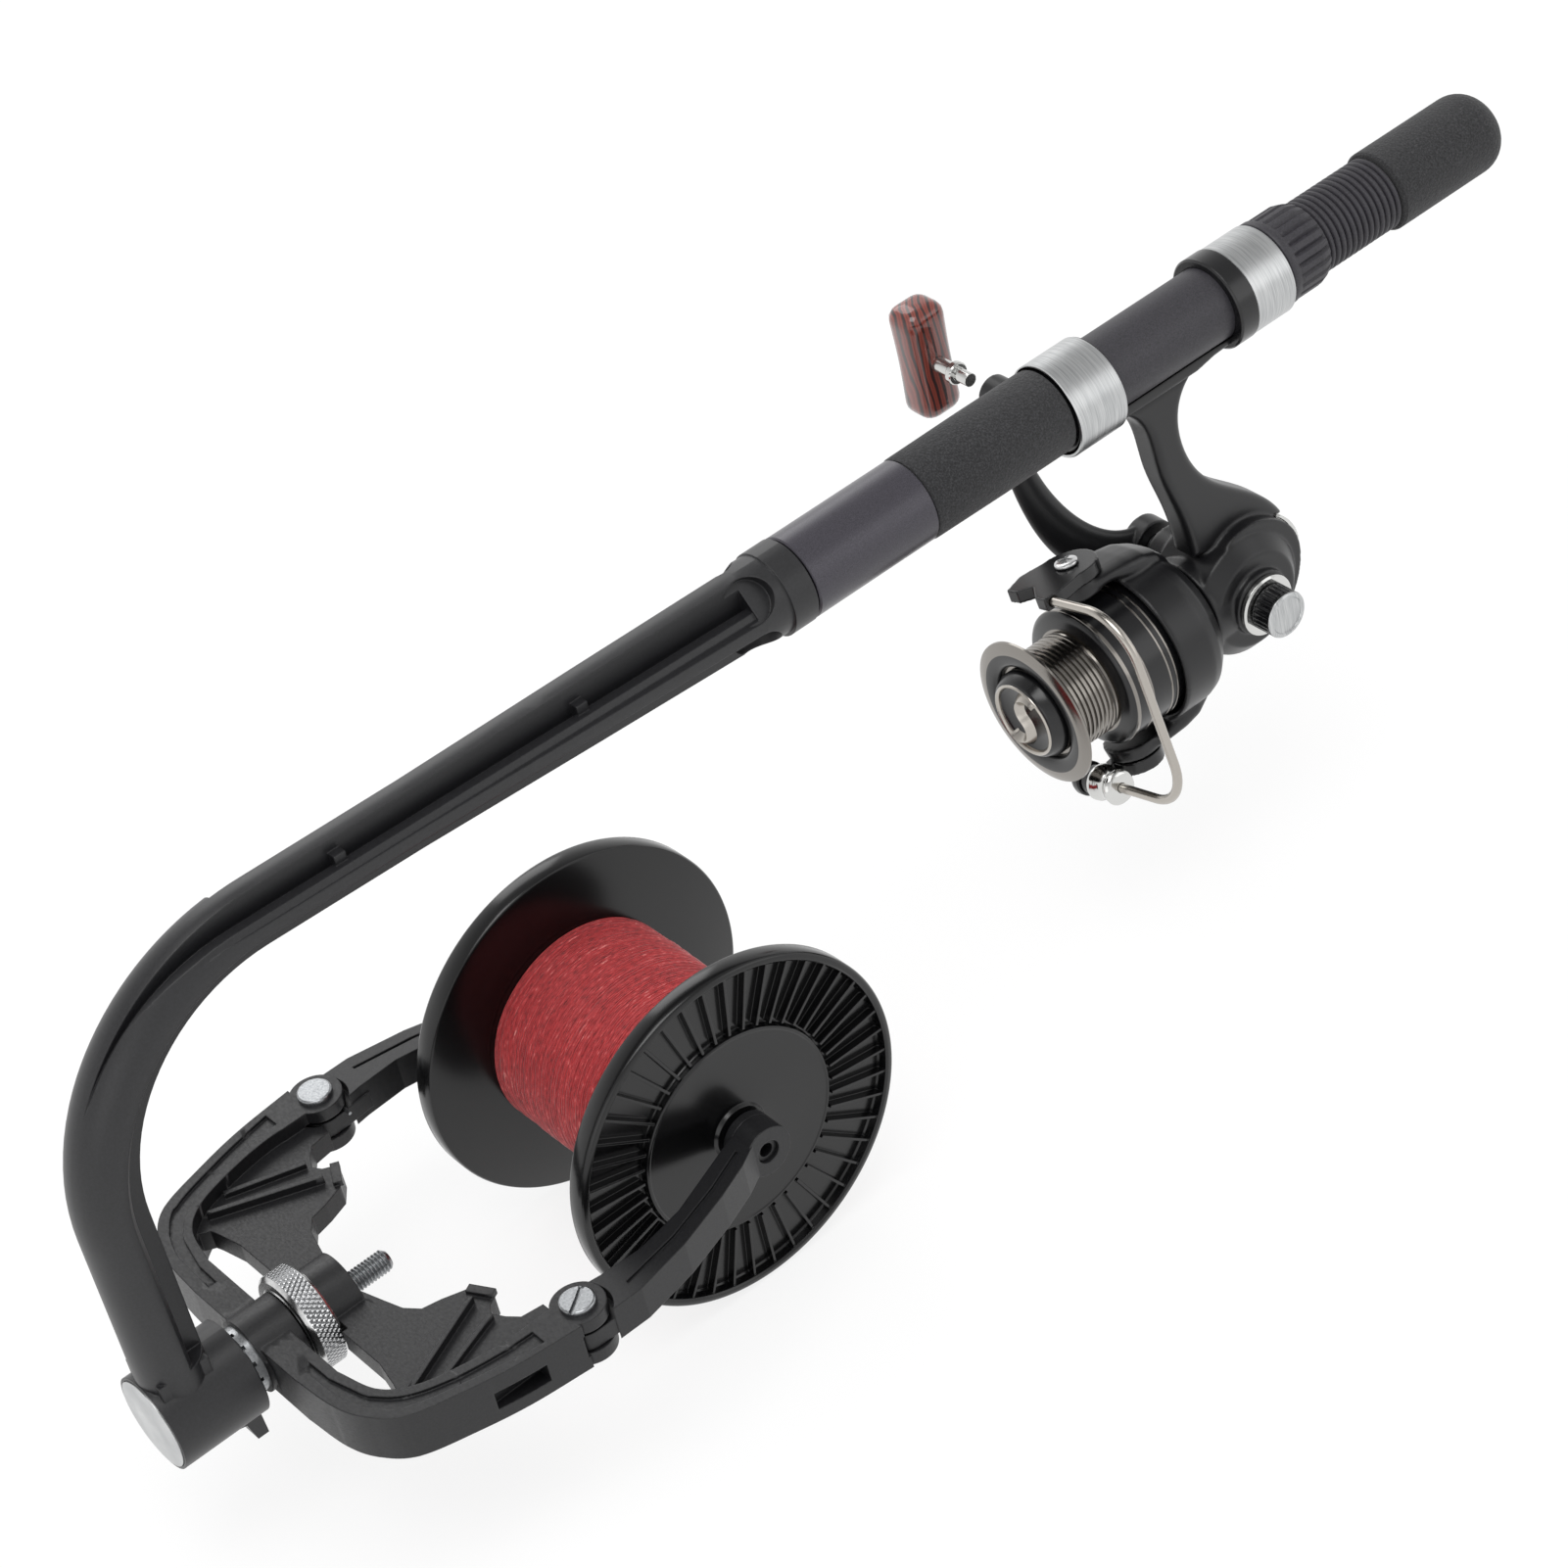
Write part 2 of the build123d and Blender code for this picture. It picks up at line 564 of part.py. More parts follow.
def at_rotor(shape):
    """Place a piece drawn with the bail's pivots on the Z axis."""
    return on_reel(Rot(-rotor_tilt, 0, 0) * shape)


rotor_x1 = rotor_x0 + rotor_len
body_x0 = rotor_x1 + 0.8
foot_x0 = front_ring_len - foot_seat_depth + 0.6
foot_x1 = front_ring_len + seat_open + foot_seat_depth - 0.6
foot_in = barrel_r + seat_gap
foot = turned([(foot_x0, foot_in), (foot_x0, foot_in + 1.0), (foot_x0 + 8, foot_in + 1.7),
               (foot_x0 + 12, foot_in + foot_thick), (foot_x1 - 20, foot_in + foot_thick),
               (foot_x1 - 14, foot_in + 1.6), (foot_x1, foot_in + 1.0), (foot_x1, foot_in)])
foot = foot & block(0, 90, -foot_half, foot_half, -20, -barrel_r * 0.76)
foot = Pos(0, 0, axis_drop) * foot
foot_z = axis_drop - foot_in
stem_side = Spline((stem_x - 12, foot_z - 1.6), (stem_x - 5, foot_z - 9), (stem_x - 2, foot_z - 26),
                   (stem_x + 2, foot_z - 42), (stem_x + 4, foot_z - 57))
stem_back = Spline((stem_x + 36, 12), (stem_x + 29, 22), (stem_x + 13, foot_z - 36),
                   (stem_x + 7, foot_z - 22), (stem_x + 8, foot_z - 9), (stem_x + 16, foot_z - 1.6))
stem_edge = (stem_side + Line(stem_side @ 1, stem_back @ 0) + stem_back
             + Line(stem_back @ 1, stem_side @ 0))
stem_face = Plane.XZ * make_face(stem_edge)
stem = extrude(stem_face, 4.6, both=True)
stem = fillet(stem.edges().filter_by(Axis.Y, reverse=True).group_by(Axis.Y)[0]
              + stem.edges().filter_by(Axis.Y, reverse=True).group_by(Axis.Y)[-1], 2.0)
gearbox = turned_y([(-body_half, 0), (-body_half, 13.5), (-body_half + 4, 17.5),
                    (body_half - 4, 17.5), (body_half, 13.5), (body_half, 0)], crank_x)
neck = tube_x(body_x0, crank_x, 14.0)
tail_side = Spline((crank_x - 4, 17.4), (crank_x + 12, 17.0), (crank_x + 20, 8.0),
                   (crank_x + 19.5, -5.0), (crank_x + 6, -16.4))
tail_face = Plane.XZ * make_face(tail_side + Line(tail_side @ 1, tail_side @ 0))
tail = extrude(tail_face, 8.5, both=True)
body = stem + gearbox + neck + tail + foot
body -= block(0, body_x0, -25, 25, -25, 25)
far_boss = tube_y(body_half - 1, body_half + 9, 8.0, 0, crank_x)
near_boss = tube_y(-body_half - 2.5, -body_half + 1, 9.2, 0, crank_x)
body += far_boss + near_boss
body -= tube_y(-body_half - 6, body_half + 12, shaft_r * 1.75 + run_gap, 0, crank_x)
body -= tube_x(body_x0 - 1, crank_x - 4, 5.0)
body = solid_of(body)
keep("reel_body", on_reel(body))

plate_cut = block(crank_x + 14.0, crank_x + 40, -6.4, 6.4, -2.0, 14.0)
cover = extrude(tail_face, 6.4, both=True)
shell = Pos(1.6, 0, 0) * cover - Pos(0.3, 0, 0) * extrude(tail_face, 9, both=True)
cover = (shell & plate_cut) - Pos(seat_gap, 0, 0) * body - body
keep("rear_plate", on_reel(solid_of(cover)))

ring_y0 = -body_half - 2.5
keep("cap_ring", on_reel(tube_y(ring_y0 - 2.0, ring_y0, 8.6, shaft_r * 1.75 + run_gap, crank_x)))
cap = turned_y([(ring_y0 - 2.2, shaft_r * 1.75 + 0.6), (ring_y0 - 2.2, 6.6), (ring_y0 - 8.4, 6.6),
                (ring_y0 - 9.0, 6.0), (ring_y0 - 9.0, 0), (ring_y0 - 5.6, 0),
                (ring_y0 - 5.6, shaft_r * 1.75 + 0.6)], crank_x)
for i in range(12):
    a = 2 * math.pi * i / 12
    cap -= tube_y(ring_y0 - 8, ring_y0 - 2, 0.55, 0, crank_x + 6.8 * math.cos(a), 6.8 * math.sin(a))
keep("side_cap", on_reel(cap))

# crank: shaft, curved arm, joint, knob shaft and knob
crank_shaft = tube_y(ring_y0 - 5.2, body_half + 13.0, shaft_r * 1.75, 0, crank_x)
keep("crank_shaft", on_reel(crank_shaft))
arm_y = body_half + 13.0
end_x = crank_x + crank_reach_x
end_z = crank_reach_z
arm_path = Spline((crank_x, arm_y + 3.4, 0), (crank_x - 15, arm_y + 6.5, 4.5),
                  (crank_x - 25, arm_y + 14, 22), (end_x, arm_y + 21, end_z - 8))
lengths = (0.0, 0.33, 0.66, 1.0)
cuts = []
for t, wide, thick in zip(lengths, (6.6, 6.2, 4.6, 4.0), (4.4, 4.2, 3.6, 3.4)):
    spot = Plane(arm_path @ t, x_dir=(0, 1, 0), z_dir=arm_path % t)
    cuts.append(spot * Ellipse(thick / 1.6, wide))
crank = loft([c.face() for c in cuts])
crank += tube_y(arm_y + 0.2, arm_y + 6.0, 7.2, 0, crank_x)
knob_y = arm_y + 24.0
crank += tube_y(knob_y - 7.5, knob_y - 0.6, 5.0, 0, end_x, end_z)
crank += block(end_x - 3, end_x + 3, knob_y - 7, knob_y - 1.5, end_z - 11, end_z)
crank -= tube_y(knob_y - 5, knob_y + 1, 2.0, 0, end_x, end_z)
keep("crank_arm", on_reel(solid_of(crank)))
shaft_len = 22.0
keep("knob_shaft", on_reel(turned_y([(knob_y - 4.8, 0), (knob_y - 4.8, 1.9), (knob_y, 1.9),
                                     (knob_y, 3.2), (knob_y + 2.2, 3.2), (knob_y + 2.8, 2.4),
                                     (knob_y + shaft_len - 3, 2.4), (knob_y + shaft_len - 3, 2.0),
                                     (knob_y + shaft_len + 8, 2.0), (knob_y + shaft_len + 8, 0)],
                                    end_x, end_z)))
knob_c = knob_y + shaft_len + 5.0
levels = (-0.5, -0.44, -0.3, 0.0, 0.3, 0.44, 0.5)
fat = (3.4, 5.6, 6.4, 5.6, 6.4, 5.6, 3.4)
knob_cuts = []
for t, rad in zip(levels, fat):
    knob_cuts.append((Pos(end_x, knob_c, end_z + t * knob_len) * Ellipse(rad, rad * 0.86)).face())
knob = loft(knob_cuts)
knob -= tube_y(knob_c - 20, knob_c + 3.6, 2.0 + run_gap, 0, end_x, end_z)
collar = tube_y(knob_c - 7.6, knob_c - 4.6, 4.2, 2.0 + run_gap, end_x, end_z)
knob += collar
keep("crank_knob", on_reel(solid_of(knob)))

# rotor, drawn upright and turned by its tilt
rotor = turned([(rotor_x0, rotor_r - 1.6), (rotor_x0, rotor_r), (rotor_x1 - 7, rotor_r),
                (rotor_x1, 15.0), (rotor_x1, shaft_r + run_gap),
                (rotor_x1 - 2.5, shaft_r + run_gap),
                (rotor_x1 - 2.5, 13.5), (rotor_x1 - 7.6, rotor_r - 1.6)])
ear = extrude(Pos(bail_x, 0, 0) * Circle(7.5), 3.6)
limb = make_face(Polyline((bail_x, -7.5), (rotor_x0 + 6, -9.0), (rotor_x1 - 5, -8.0),
                          (rotor_x1 - 2, 0), (rotor_x1 - 5, 8.0), (rotor_x0 + 6, 9.0),
                          (bail_x, 7.5), close=True))
limb = extrude(limb, 3.6)
limb_foot = block(rotor_x0 + 1, rotor_x1 - 6.5, -8.0, 8.0, 18.5, arm_ride - 2)
for flip in (0, 180):
    part_arm = Pos(0, 0, arm_ride - 3.6) * (ear + limb)
    part_arm += limb_foot - tube_x(0, 60, rotor_r - 1.6)
    rotor += Rot(flip, 0, 0) * part_arm
rotor -= Rot(0, -90, 0) * tube_x(-50, 50, 1.6, z=-bail_x)
keep("rotor", at_rotor(solid_of(rotor)))

screw = turned([(arm_ride - 3.4, 0), (arm_ride - 3.4, 1.5), (arm_ride + 4.3, 1.5),
                (arm_ride + 4.3, 3.2), (arm_ride + 5.0, 3.2), (arm_ride + 5.6, 2.4),
                (arm_ride + 5.6, 0)])
screw = Rot(0, -90, 0) * screw
screw = Pos(bail_x, 0, 0) * screw
keep("bail_screws", at_rotor(screw + Rot(180, 0, 0) * screw))

lever_z = arm_ride + 0.3
lever = Pos(bail_x, 0, lever_z) * extrude(Circle(8.2), 3.6)
trigger = make_face(Polyline((bail_x + 1, 8.0), (bail_x - 9, 9.5), (bail_x - 15.5, 7.0),
                             (bail_x - 15.0, 3.4), (bail_x - 11.5, 0.5), (bail_x - 15.4, -5.0),
                             (bail_x - 15.4, -9.0), (bail_x - 10.4, -9.6), (bail_x - 2, -8.0),
                             close=True))
lever += Pos(0, 0, lever_z) * extrude(trigger, 3.6)
lever -= Pos(bail_x, 0, lever_z - 1) * extrude(Circle(1.6), 9)
wire_x = bail_x - wire_lead
wire_y0 = -7.0
wire_z = lever_z + 1.8
lever -= tube_y(-14, wire_y0 + 0.2, bail_wire_r + 0.05, 0, wire_x, wire_z)
keep("bail_arm", at_rotor(solid_of(lever)))
roller_y0 = wire_y0 - 1.6
tab_y0 = roller_y0 + roller_len + seat_gap
tab_y1 = tab_y0 + 2.8
low = Pos(bail_x, 0, lever_z) * extrude(Circle(7.0), 3.6)
tab = make_face(Polyline((bail_x + 2, 7.0), (bail_x - 7.8, tab_y1),
                         (wire_x + 1.5, tab_y1), (wire_x + 1.5, tab_y0),
                         (bail_x - 5.5, tab_y0), (bail_x - 5.0, -4.9), (bail_x + 1, -7.0),
                         close=True))
low += Pos(0, 0, lever_z) * extrude(tab, 3.6)
low += tube_y(tab_y0, tab_y1, 4.0, 0, wire_x, wire_z)
low -= tube_y(tab_y0 - 1, tab_y1 + 1, bail_wire_r + 0.05, 0, wire_x, wire_z)
low -= Pos(bail_x, 0, lever_z - 1) * extrude(Circle(1.6), 9)
low = Rot(180, 0, 0) * mirror(solid_of(low), Plane.XZ)
keep("roller_arm", at_rotor(low))
wire_end = tab_y1 + 0.2
side_r = 14.0
top_y = -bail_reach + side_r
bail_line = [
    Line((wire_x, wire_y0, wire_z), (wire_x, top_y, wire_z)).edge(),
    ThreePointArc((wire_x, top_y, wire_z),
                  (wire_x, top_y - side_r * math.sin(math.pi / 4),
                   wire_z - side_r * (1 - math.cos(math.pi / 4))),
                  (wire_x, -bail_reach, wire_z - side_r)).edge(),
    Line((wire_x, -bail_reach, wire_z - side_r), (wire_x, -bail_reach, side_r - wire_z)).edge(),
    ThreePointArc((wire_x, -bail_reach, side_r - wire_z),
                  (wire_x, top_y - side_r * math.sin(math.pi / 4),
                   side_r * (1 - math.cos(math.pi / 4)) - wire_z),
                  (wire_x, top_y, -wire_z)).edge(),
    Line((wire_x, top_y, -wire_z), (wire_x, wire_end, -wire_z)).edge(),
]
bail = sweep(Plane((wire_x, wire_y0, wire_z), z_dir=(0, -1, 0)) * Circle(bail_wire_r),
             Wire(bail_line))
keep("bail_wire", at_rotor(bail))
r1 = roller_r
hole = bail_wire_r + run_gap
roller = turned_y([(roller_y0, hole), (roller_y0, r1 - 1.2), (roller_y0 + 1.4, r1),
                   (roller_y0 + 3.4, r1 - 1.0), (roller_y0 + 6.0, r1 - 1.2),
                   (roller_y0 + 8.2, r1), (roller_y0 + roller_len, r1 - 0.2),
                   (roller_y0 + roller_len, hole)], wire_x, -wire_z)
keep("line_roller", at_rotor(roller))
keep("roller_cap", at_rotor(turned_y([(tab_y1 + seat_gap, 0), (tab_y1 + seat_gap, 4.6),
                                      (tab_y1 + 3.0, 4.6), (tab_y1 + 4.6, 3.2),
                                      (tab_y1 + 4.6, 0)], wire_x, -wire_z)))

# reel spool: lip, ribbed arbor and skirt, with the drag knob in front
arbor_x0 = lip_x + 2.2
arbor_x1 = arbor_x0 + arbor_len
skirt_x1 = arbor_x1 + skirt_len
shaft_bore = shaft_r + run_gap
spool_pts = [(arbor_x0, shaft_bore), (arbor_x0, 16.0)]
rings = 4
step = arbor_len / rings
for i in range(rings):
    a = arbor_x0 + i * step
    spool_pts += [(a + 0.01, arbor_r), (a + step * 0.5, arbor_r), (a + step * 0.75, arbor_r - 0.6)]
spool_pts += [(arbor_x1, skirt_r - 1.4), (arbor_x1 + 1.2, skirt_r - 0.2), (arbor_x1 + 3, skirt_r),
              (skirt_x1 - 1, skirt_r), (skirt_x1, skirt_r - 0.6), (skirt_x1, skirt_r - 1.8),
              (arbor_x1 + 3.0, skirt_r - 1.8), (arbor_x1 + 3.0, shaft_bore)]
spool_pts[1] = (arbor_x0, arbor_r)
del spool_pts[2]
keep("reel_spool", on_reel(turned(spool_pts)))
lip = turned([(lip_x + 0.6, 13.2), (lip_x, 14.2), (lip_x, 19.6), (lip_x + 0.8, lip_r),
              (lip_x + 1.6, lip_r), (lip_x + 2.0, 19.0), (lip_x + 2.0, 13.2)])
keep("spool_lip", on_reel(lip))
knob_face = lip_x - 5.0
drag = turned([(lip_x + 1.6, 0), (lip_x + 1.6, 12.6), (lip_x - 0.6, 12.6), (lip_x - 1.6, 11.6),
               (knob_face, 11.0), (knob_face, 8.6), (knob_face + 2.2, 8.0), (knob_face + 2.2, 0)])
fin = Plane((knob_face - 0.6, 0, 0), x_dir=(0, 1, 0), z_dir=(1, 0, 0))
swirl = make_face(Polyline((-8.2, 1.0), (-5.0, 4.6), (-1.0, 4.0), (2.0, 1.2), (5.0, 0.2),
                           (8.2, 1.6), (8.2, -1.0), (5.0, -4.6), (1.0, -4.0), (-2.0, -1.2),
                           (-5.0, -0.2), (-8.2, -1.6), close=True))
drag += extrude(fin * swirl, 3.4)
keep("drag_knob", on_reel(drag))
shaft = tube_x(arbor_x0 + 2.5, crank_x - 12.5, shaft_r)
keep("main_shaft", on_reel(shaft))

for name, shape in nodes.items():
    export_step(shape, "parts/" + name + ".step")
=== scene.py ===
import math
import random

import bmesh
import bpy
from mathutils import Matrix, Vector, geometry, noise


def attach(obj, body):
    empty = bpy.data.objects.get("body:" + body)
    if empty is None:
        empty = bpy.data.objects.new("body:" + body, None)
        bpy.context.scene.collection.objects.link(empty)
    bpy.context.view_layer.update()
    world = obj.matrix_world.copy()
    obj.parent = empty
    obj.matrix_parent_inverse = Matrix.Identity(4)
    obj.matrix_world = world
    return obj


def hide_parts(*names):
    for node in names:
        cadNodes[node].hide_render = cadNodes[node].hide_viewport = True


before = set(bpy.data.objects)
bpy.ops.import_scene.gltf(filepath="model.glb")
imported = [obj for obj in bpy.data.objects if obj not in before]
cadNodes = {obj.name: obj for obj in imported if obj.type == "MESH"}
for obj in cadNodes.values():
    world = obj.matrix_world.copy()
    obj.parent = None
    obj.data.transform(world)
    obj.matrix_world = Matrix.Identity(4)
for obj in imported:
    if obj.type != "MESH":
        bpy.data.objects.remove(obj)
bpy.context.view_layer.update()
random.seed(7)
print("frame loaded with", len(cadNodes), "nodes")


# ---- small helpers: colours, nodes, meshes

def linearHex(code):
    channels = [int(code[i:i + 2], 16) / 255 for i in (1, 3, 5)]
    straight = [c / 12.92 if c <= 0.04045 else ((c + 0.055) / 1.055) ** 2.4 for c in channels]
    return (*straight, 1.0)


def addNode(tree, kind, inputs=None, **settings):
    node = tree.nodes.new(kind)
    for key, value in settings.items():
        setattr(node, key, value)
    for key, value in (inputs or {}).items():
        if isinstance(value, bpy.types.NodeSocket):
            tree.links.new(value, node.inputs[key])
        else:
            node.inputs[key].default_value = value
    return node


def newMaterial(name, **shader):
    material = bpy.data.materials.new(name)
    material.use_nodes = True
    tree = material.node_tree
    surface = tree.nodes["Principled BSDF"]
    for key, value in shader.items():
        surface.inputs[key.replace("_", " ")].default_value = value
    return material, tree, surface


def rampColours(node, stops):
    ramp = node.color_ramp
    while len(ramp.elements) < len(stops):
        ramp.elements.new(0.5)
    for element, (place, code) in zip(ramp.elements, stops):
        element.position = place
        element.color = linearHex(code)


def perMm(size):
    return 1000.0 / size   # noise scale whose grain is that many millimetres


def grainBump(tree, surface, size, strength, depth, edge=0.0, detail=4.0, stretch=(1, 1, 1)):
    # one noise in real millimetres for the height, over a softened edge where a width is given
    place = addNode(tree, "ShaderNodeTexCoord")
    turned = addNode(tree, "ShaderNodeMapping", {"Vector": place.outputs["Object"],
                                                 "Scale": stretch})
    grain = addNode(tree, "ShaderNodeTexNoise", {"Vector": turned.outputs["Vector"],
                                                 "Scale": perMm(size), "Detail": detail})
    bump = addNode(tree, "ShaderNodeBump", {"Height": grain.outputs["Fac"], "Strength": strength,
                                            "Distance": depth / 1000})
    if edge:
        soft = addNode(tree, "ShaderNodeBevel", {"Radius": edge / 1000}, samples=6)
        tree.links.new(soft.outputs["Normal"], bump.inputs["Normal"])
    tree.links.new(bump.outputs["Normal"], surface.inputs["Normal"])
    return grain


def mm(x, y, z):
    return Vector((x, y, z)) / 1000


def finishPiece(bm, name, material, body, replaced=(), smooth=35):
    bmesh.ops.remove_doubles(bm, verts=bm.verts, dist=1e-6)
    bmesh.ops.recalc_face_normals(bm, faces=bm.faces)
    mesh = bpy.data.meshes.new(name)
    bm.to_mesh(mesh)
    bm.free()
    for polygon in mesh.polygons:
        polygon.use_smooth = True
    mesh.set_sharp_from_angle(angle=math.radians(smooth))
    piece = bpy.data.objects.new(name, mesh)
    bpy.context.scene.collection.objects.link(piece)
    mesh.materials.append(material)
    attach(piece, body)
    if replaced:
        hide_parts(*replaced)
    return piece


def meltEdges(piece, voxel, rounds):
    melt = piece.modifiers.new("melt", "REMESH")
    melt.mode = "VOXEL"
    melt.voxel_size = voxel / 1000
    melt.use_smooth_shade = True
    relax = piece.modifiers.new("relax", "SMOOTH")
    relax.factor = 0.5
    relax.iterations = rounds


def spinProfile(bm, profile, axis, centre, steps=96, closed=True):
    # profile holds (along, radius) pairs in millimetres, turned about an axis through centre
    aim = Vector(axis).normalized()
    side = aim.orthogonal().normalized()
    base = mm(*centre)
    points = [bm.verts.new(base + (aim * a + side * max(r, 0.0)) / 1000) for a, r in profile]
    ends = list(zip(points, points[1:]))
    if closed:
        ends.append((points[-1], points[0]))
    edges = [bm.edges.new(pair) for pair in ends]
    made = bmesh.ops.spin(bm, geom=points + edges, cent=base, axis=aim, angle=2 * math.pi,
                          steps=steps, use_merge=True)
    return made


def addBlock(bm, size, matrix):
    # box of that size in millimetres, placed by a matrix in metres
    made = bmesh.ops.create_cube(bm, size=1.0)
    scale = Matrix.Diagonal((*(s / 1000 for s in size), 1.0))
    bmesh.ops.transform(bm, matrix=matrix @ scale, verts=made["verts"])
    return made["verts"]


def move(x, y, z):
    return Matrix.Translation(mm(x, y, z))


# ---- shared places, in millimetres, the same as the solids'
places = {
    "reel": (-116.5, 0.0, -84.0),
    "bulkSpool": (-273.2, 0.0, -110.5),
    "boss": (-399.9, 0.0, -110.5),
    "rotorTilt": 15.0,
}

# ---- materials
# aluminium alloy, sand cast and sprayed with black satin enamel: soft broad highlights, faint peel
castEnamel, tree, surface = newMaterial("castAluminiumBlackEnamel", Roughness=0.42, IOR=1.5,
                                        Coat_Weight=0.15, Coat_Roughness=0.35)
grain = grainBump(tree, surface, 0.7, 0.35, 0.05, edge=0.5)
tone = addNode(tree, "ShaderNodeValToRGB", {"Fac": grain.outputs["Fac"]})
rampColours(tone, [(0.3, "#101012"), (0.7, "#1a1a1d")])
tree.links.new(tone.outputs["Color"], surface.inputs["Base Color"])

# aluminium tube with a dark metallic lacquer: a long soft gleam with a purple cast
sleeveLacquer, tree, surface = newMaterial("aluminiumTubeMetallicLacquer", Roughness=0.36,
                                           Metallic=0.35, Coat_Weight=0.3, Coat_Roughness=0.25)
grain = grainBump(tree, surface, 0.25, 0.12, 0.02)
tone = addNode(tree, "ShaderNodeValToRGB", {"Fac": grain.outputs["Fac"]})
rampColours(tone, [(0.3, "#2f2d33"), (0.75, "#4b4851")])
tree.links.new(tone.outputs["Color"], surface.inputs["Base Color"])

# EVA foam, ground to shape: quite matt, with fine open cells that read as dark pinpricks
evaFoam, tree, surface = newMaterial("evaFoamGround", Roughness=0.93, IOR=1.45, Sheen_Weight=0.12,
                                     Sheen_Roughness=0.6)
place = addNode(tree, "ShaderNodeTexCoord")
cells = addNode(tree, "ShaderNodeTexVoronoi", {"Vector": place.outputs["Object"],
                                               "Scale": perMm(0.9)})   # coarser than real, to show
fine = addNode(tree, "ShaderNodeTexNoise", {"Vector": place.outputs["Object"],
                                            "Scale": perMm(0.45), "Detail": 5.0})
height = addNode(tree, "ShaderNodeMath", {0: cells.outputs["Distance"], 1: fine.outputs["Fac"]},
                 operation="ADD")
tone = addNode(tree, "ShaderNodeValToRGB", {"Fac": fine.outputs["Fac"]})
rampColours(tone, [(0.32, "#161617"), (0.5, "#242426"), (0.72, "#3a3a3c")])
tree.links.new(tone.outputs["Color"], surface.inputs["Base Color"])
bump = addNode(tree, "ShaderNodeBump", {"Height": height.outputs["Value"], "Strength": 0.5,
                                        "Distance": 0.00025})
tree.links.new(bump.outputs["Normal"], surface.inputs["Normal"])

# aluminium ring, turned and brushed round: bright bands along it with hairlines round it
brushedRing, tree, surface = newMaterial("aluminiumBrushedRound", Metallic=1.0)
place = addNode(tree, "ShaderNodeTexCoord")
lines = addNode(tree, "ShaderNodeMapping", {"Vector": place.outputs["Object"],
                                            "Scale": (1.0, 0.03, 0.03)})
hair = addNode(tree, "ShaderNodeTexNoise", {"Vector": lines.outputs["Vector"],
                                            "Scale": perMm(0.3), "Detail": 6.0})
tone = addNode(tree, "ShaderNodeValToRGB", {"Fac": hair.outputs["Fac"]})
rampColours(tone, [(0.3, "#a9abac"), (0.7, "#d0d1d1")])
rough = addNode(tree, "ShaderNodeMapRange", {"Value": hair.outputs["Fac"], "To Min": 0.26,
                                             "To Max": 0.42})
bump = addNode(tree, "ShaderNodeBump", {"Height": hair.outputs["Fac"], "Strength": 0.18,
                                        "Distance": 0.00004})
tree.links.new(tone.outputs["Color"], surface.inputs["Base Color"])
tree.links.new(rough.outputs["Result"], surface.inputs["Roughness"])
tree.links.new(bump.outputs["Normal"], surface.inputs["Normal"])

# ABS, moulded and polished: near black with one clear highlight
glossAbs, tree, surface = newMaterial("absMouldedGloss", Roughness=0.24, IOR=1.53,
                                      Base_Color=linearHex("#0e0e10"))
grainBump(tree, surface, 2.5, 0.06, 0.03, edge=0.35)

# glass-filled nylon, moulded: black, half matt, with scuffed paler grain on its faces
nylonBlack, tree, surface = newMaterial("nylonGlassFilledMoulded", IOR=1.5)
grain = grainBump(tree, surface, 0.5, 0.3, 0.04, edge=0.45)
cloud = addNode(tree, "ShaderNodeTexNoise", {"Scale": perMm(9.0), "Detail": 6.0})
tone = addNode(tree, "ShaderNodeValToRGB", {"Fac": grain.outputs["Fac"]})
rampColours(tone, [(0.3, "#0f0f11"), (0.72, "#1b1b1d")])
rough = addNode(tree, "ShaderNodeMapRange", {"Value": cloud.outputs["Fac"], "From Min": 0.3,
                                             "From Max": 0.7, "To Min": 0.33, "To Max": 0.5})
tree.links.new(tone.outputs["Color"], surface.inputs["Base Color"])
tree.links.new(rough.outputs["Result"], surface.inputs["Roughness"])

# soft-touch plastic of the threaded barrel and nut: dark grey, dull sheen on each ring
ringPlastic, tree, surface = newMaterial("nylonMouldedDull", Roughness=0.5, IOR=1.5)
grain = grainBump(tree, surface, 0.4, 0.2, 0.03)
tone = addNode(tree, "ShaderNodeValToRGB", {"Fac": grain.outputs["Fac"]})
rampColours(tone, [(0.3, "#232226"), (0.7, "#38363c")])
tree.links.new(tone.outputs["Color"], surface.inputs["Base Color"])

# polypropylene spool, moulded glossy: deep black, crisp lights on its ribs
spoolBlack, tree, surface = newMaterial("polypropyleneMouldedGloss", Roughness=0.2, IOR=1.49,
                                        Base_Color=linearHex("#0b0b0c"))
grainBump(tree, surface, 6.0, 0.05, 0.05, edge=0.25)

# zinc plated steel: bright bluish grey with small clouds
zincSteel, tree, surface = newMaterial("steelZincPlated", Metallic=1.0, Roughness=0.3)
grain = grainBump(tree, surface, 0.6, 0.15, 0.02)
tone = addNode(tree, "ShaderNodeValToRGB", {"Fac": grain.outputs["Fac"]})
rampColours(tone, [(0.3, "#86888a"), (0.7, "#aaacae")])
tree.links.new(tone.outputs["Color"], surface.inputs["Base Color"])

# nickel plated steel of the knurled nut: brighter and smoother
nickelSteel, tree, surface = newMaterial("steelNickelKnurled", Metallic=1.0, Roughness=0.22)
grain = grainBump(tree, surface, 0.8, 0.08, 0.02)
tone = addNode(tree, "ShaderNodeValToRGB", {"Fac": grain.outputs["Fac"]})
rampColours(tone, [(0.25, "#c2c3c4"), (0.75, "#e4e4e3")])
tree.links.new(tone.outputs["Color"], surface.inputs["Base Color"])

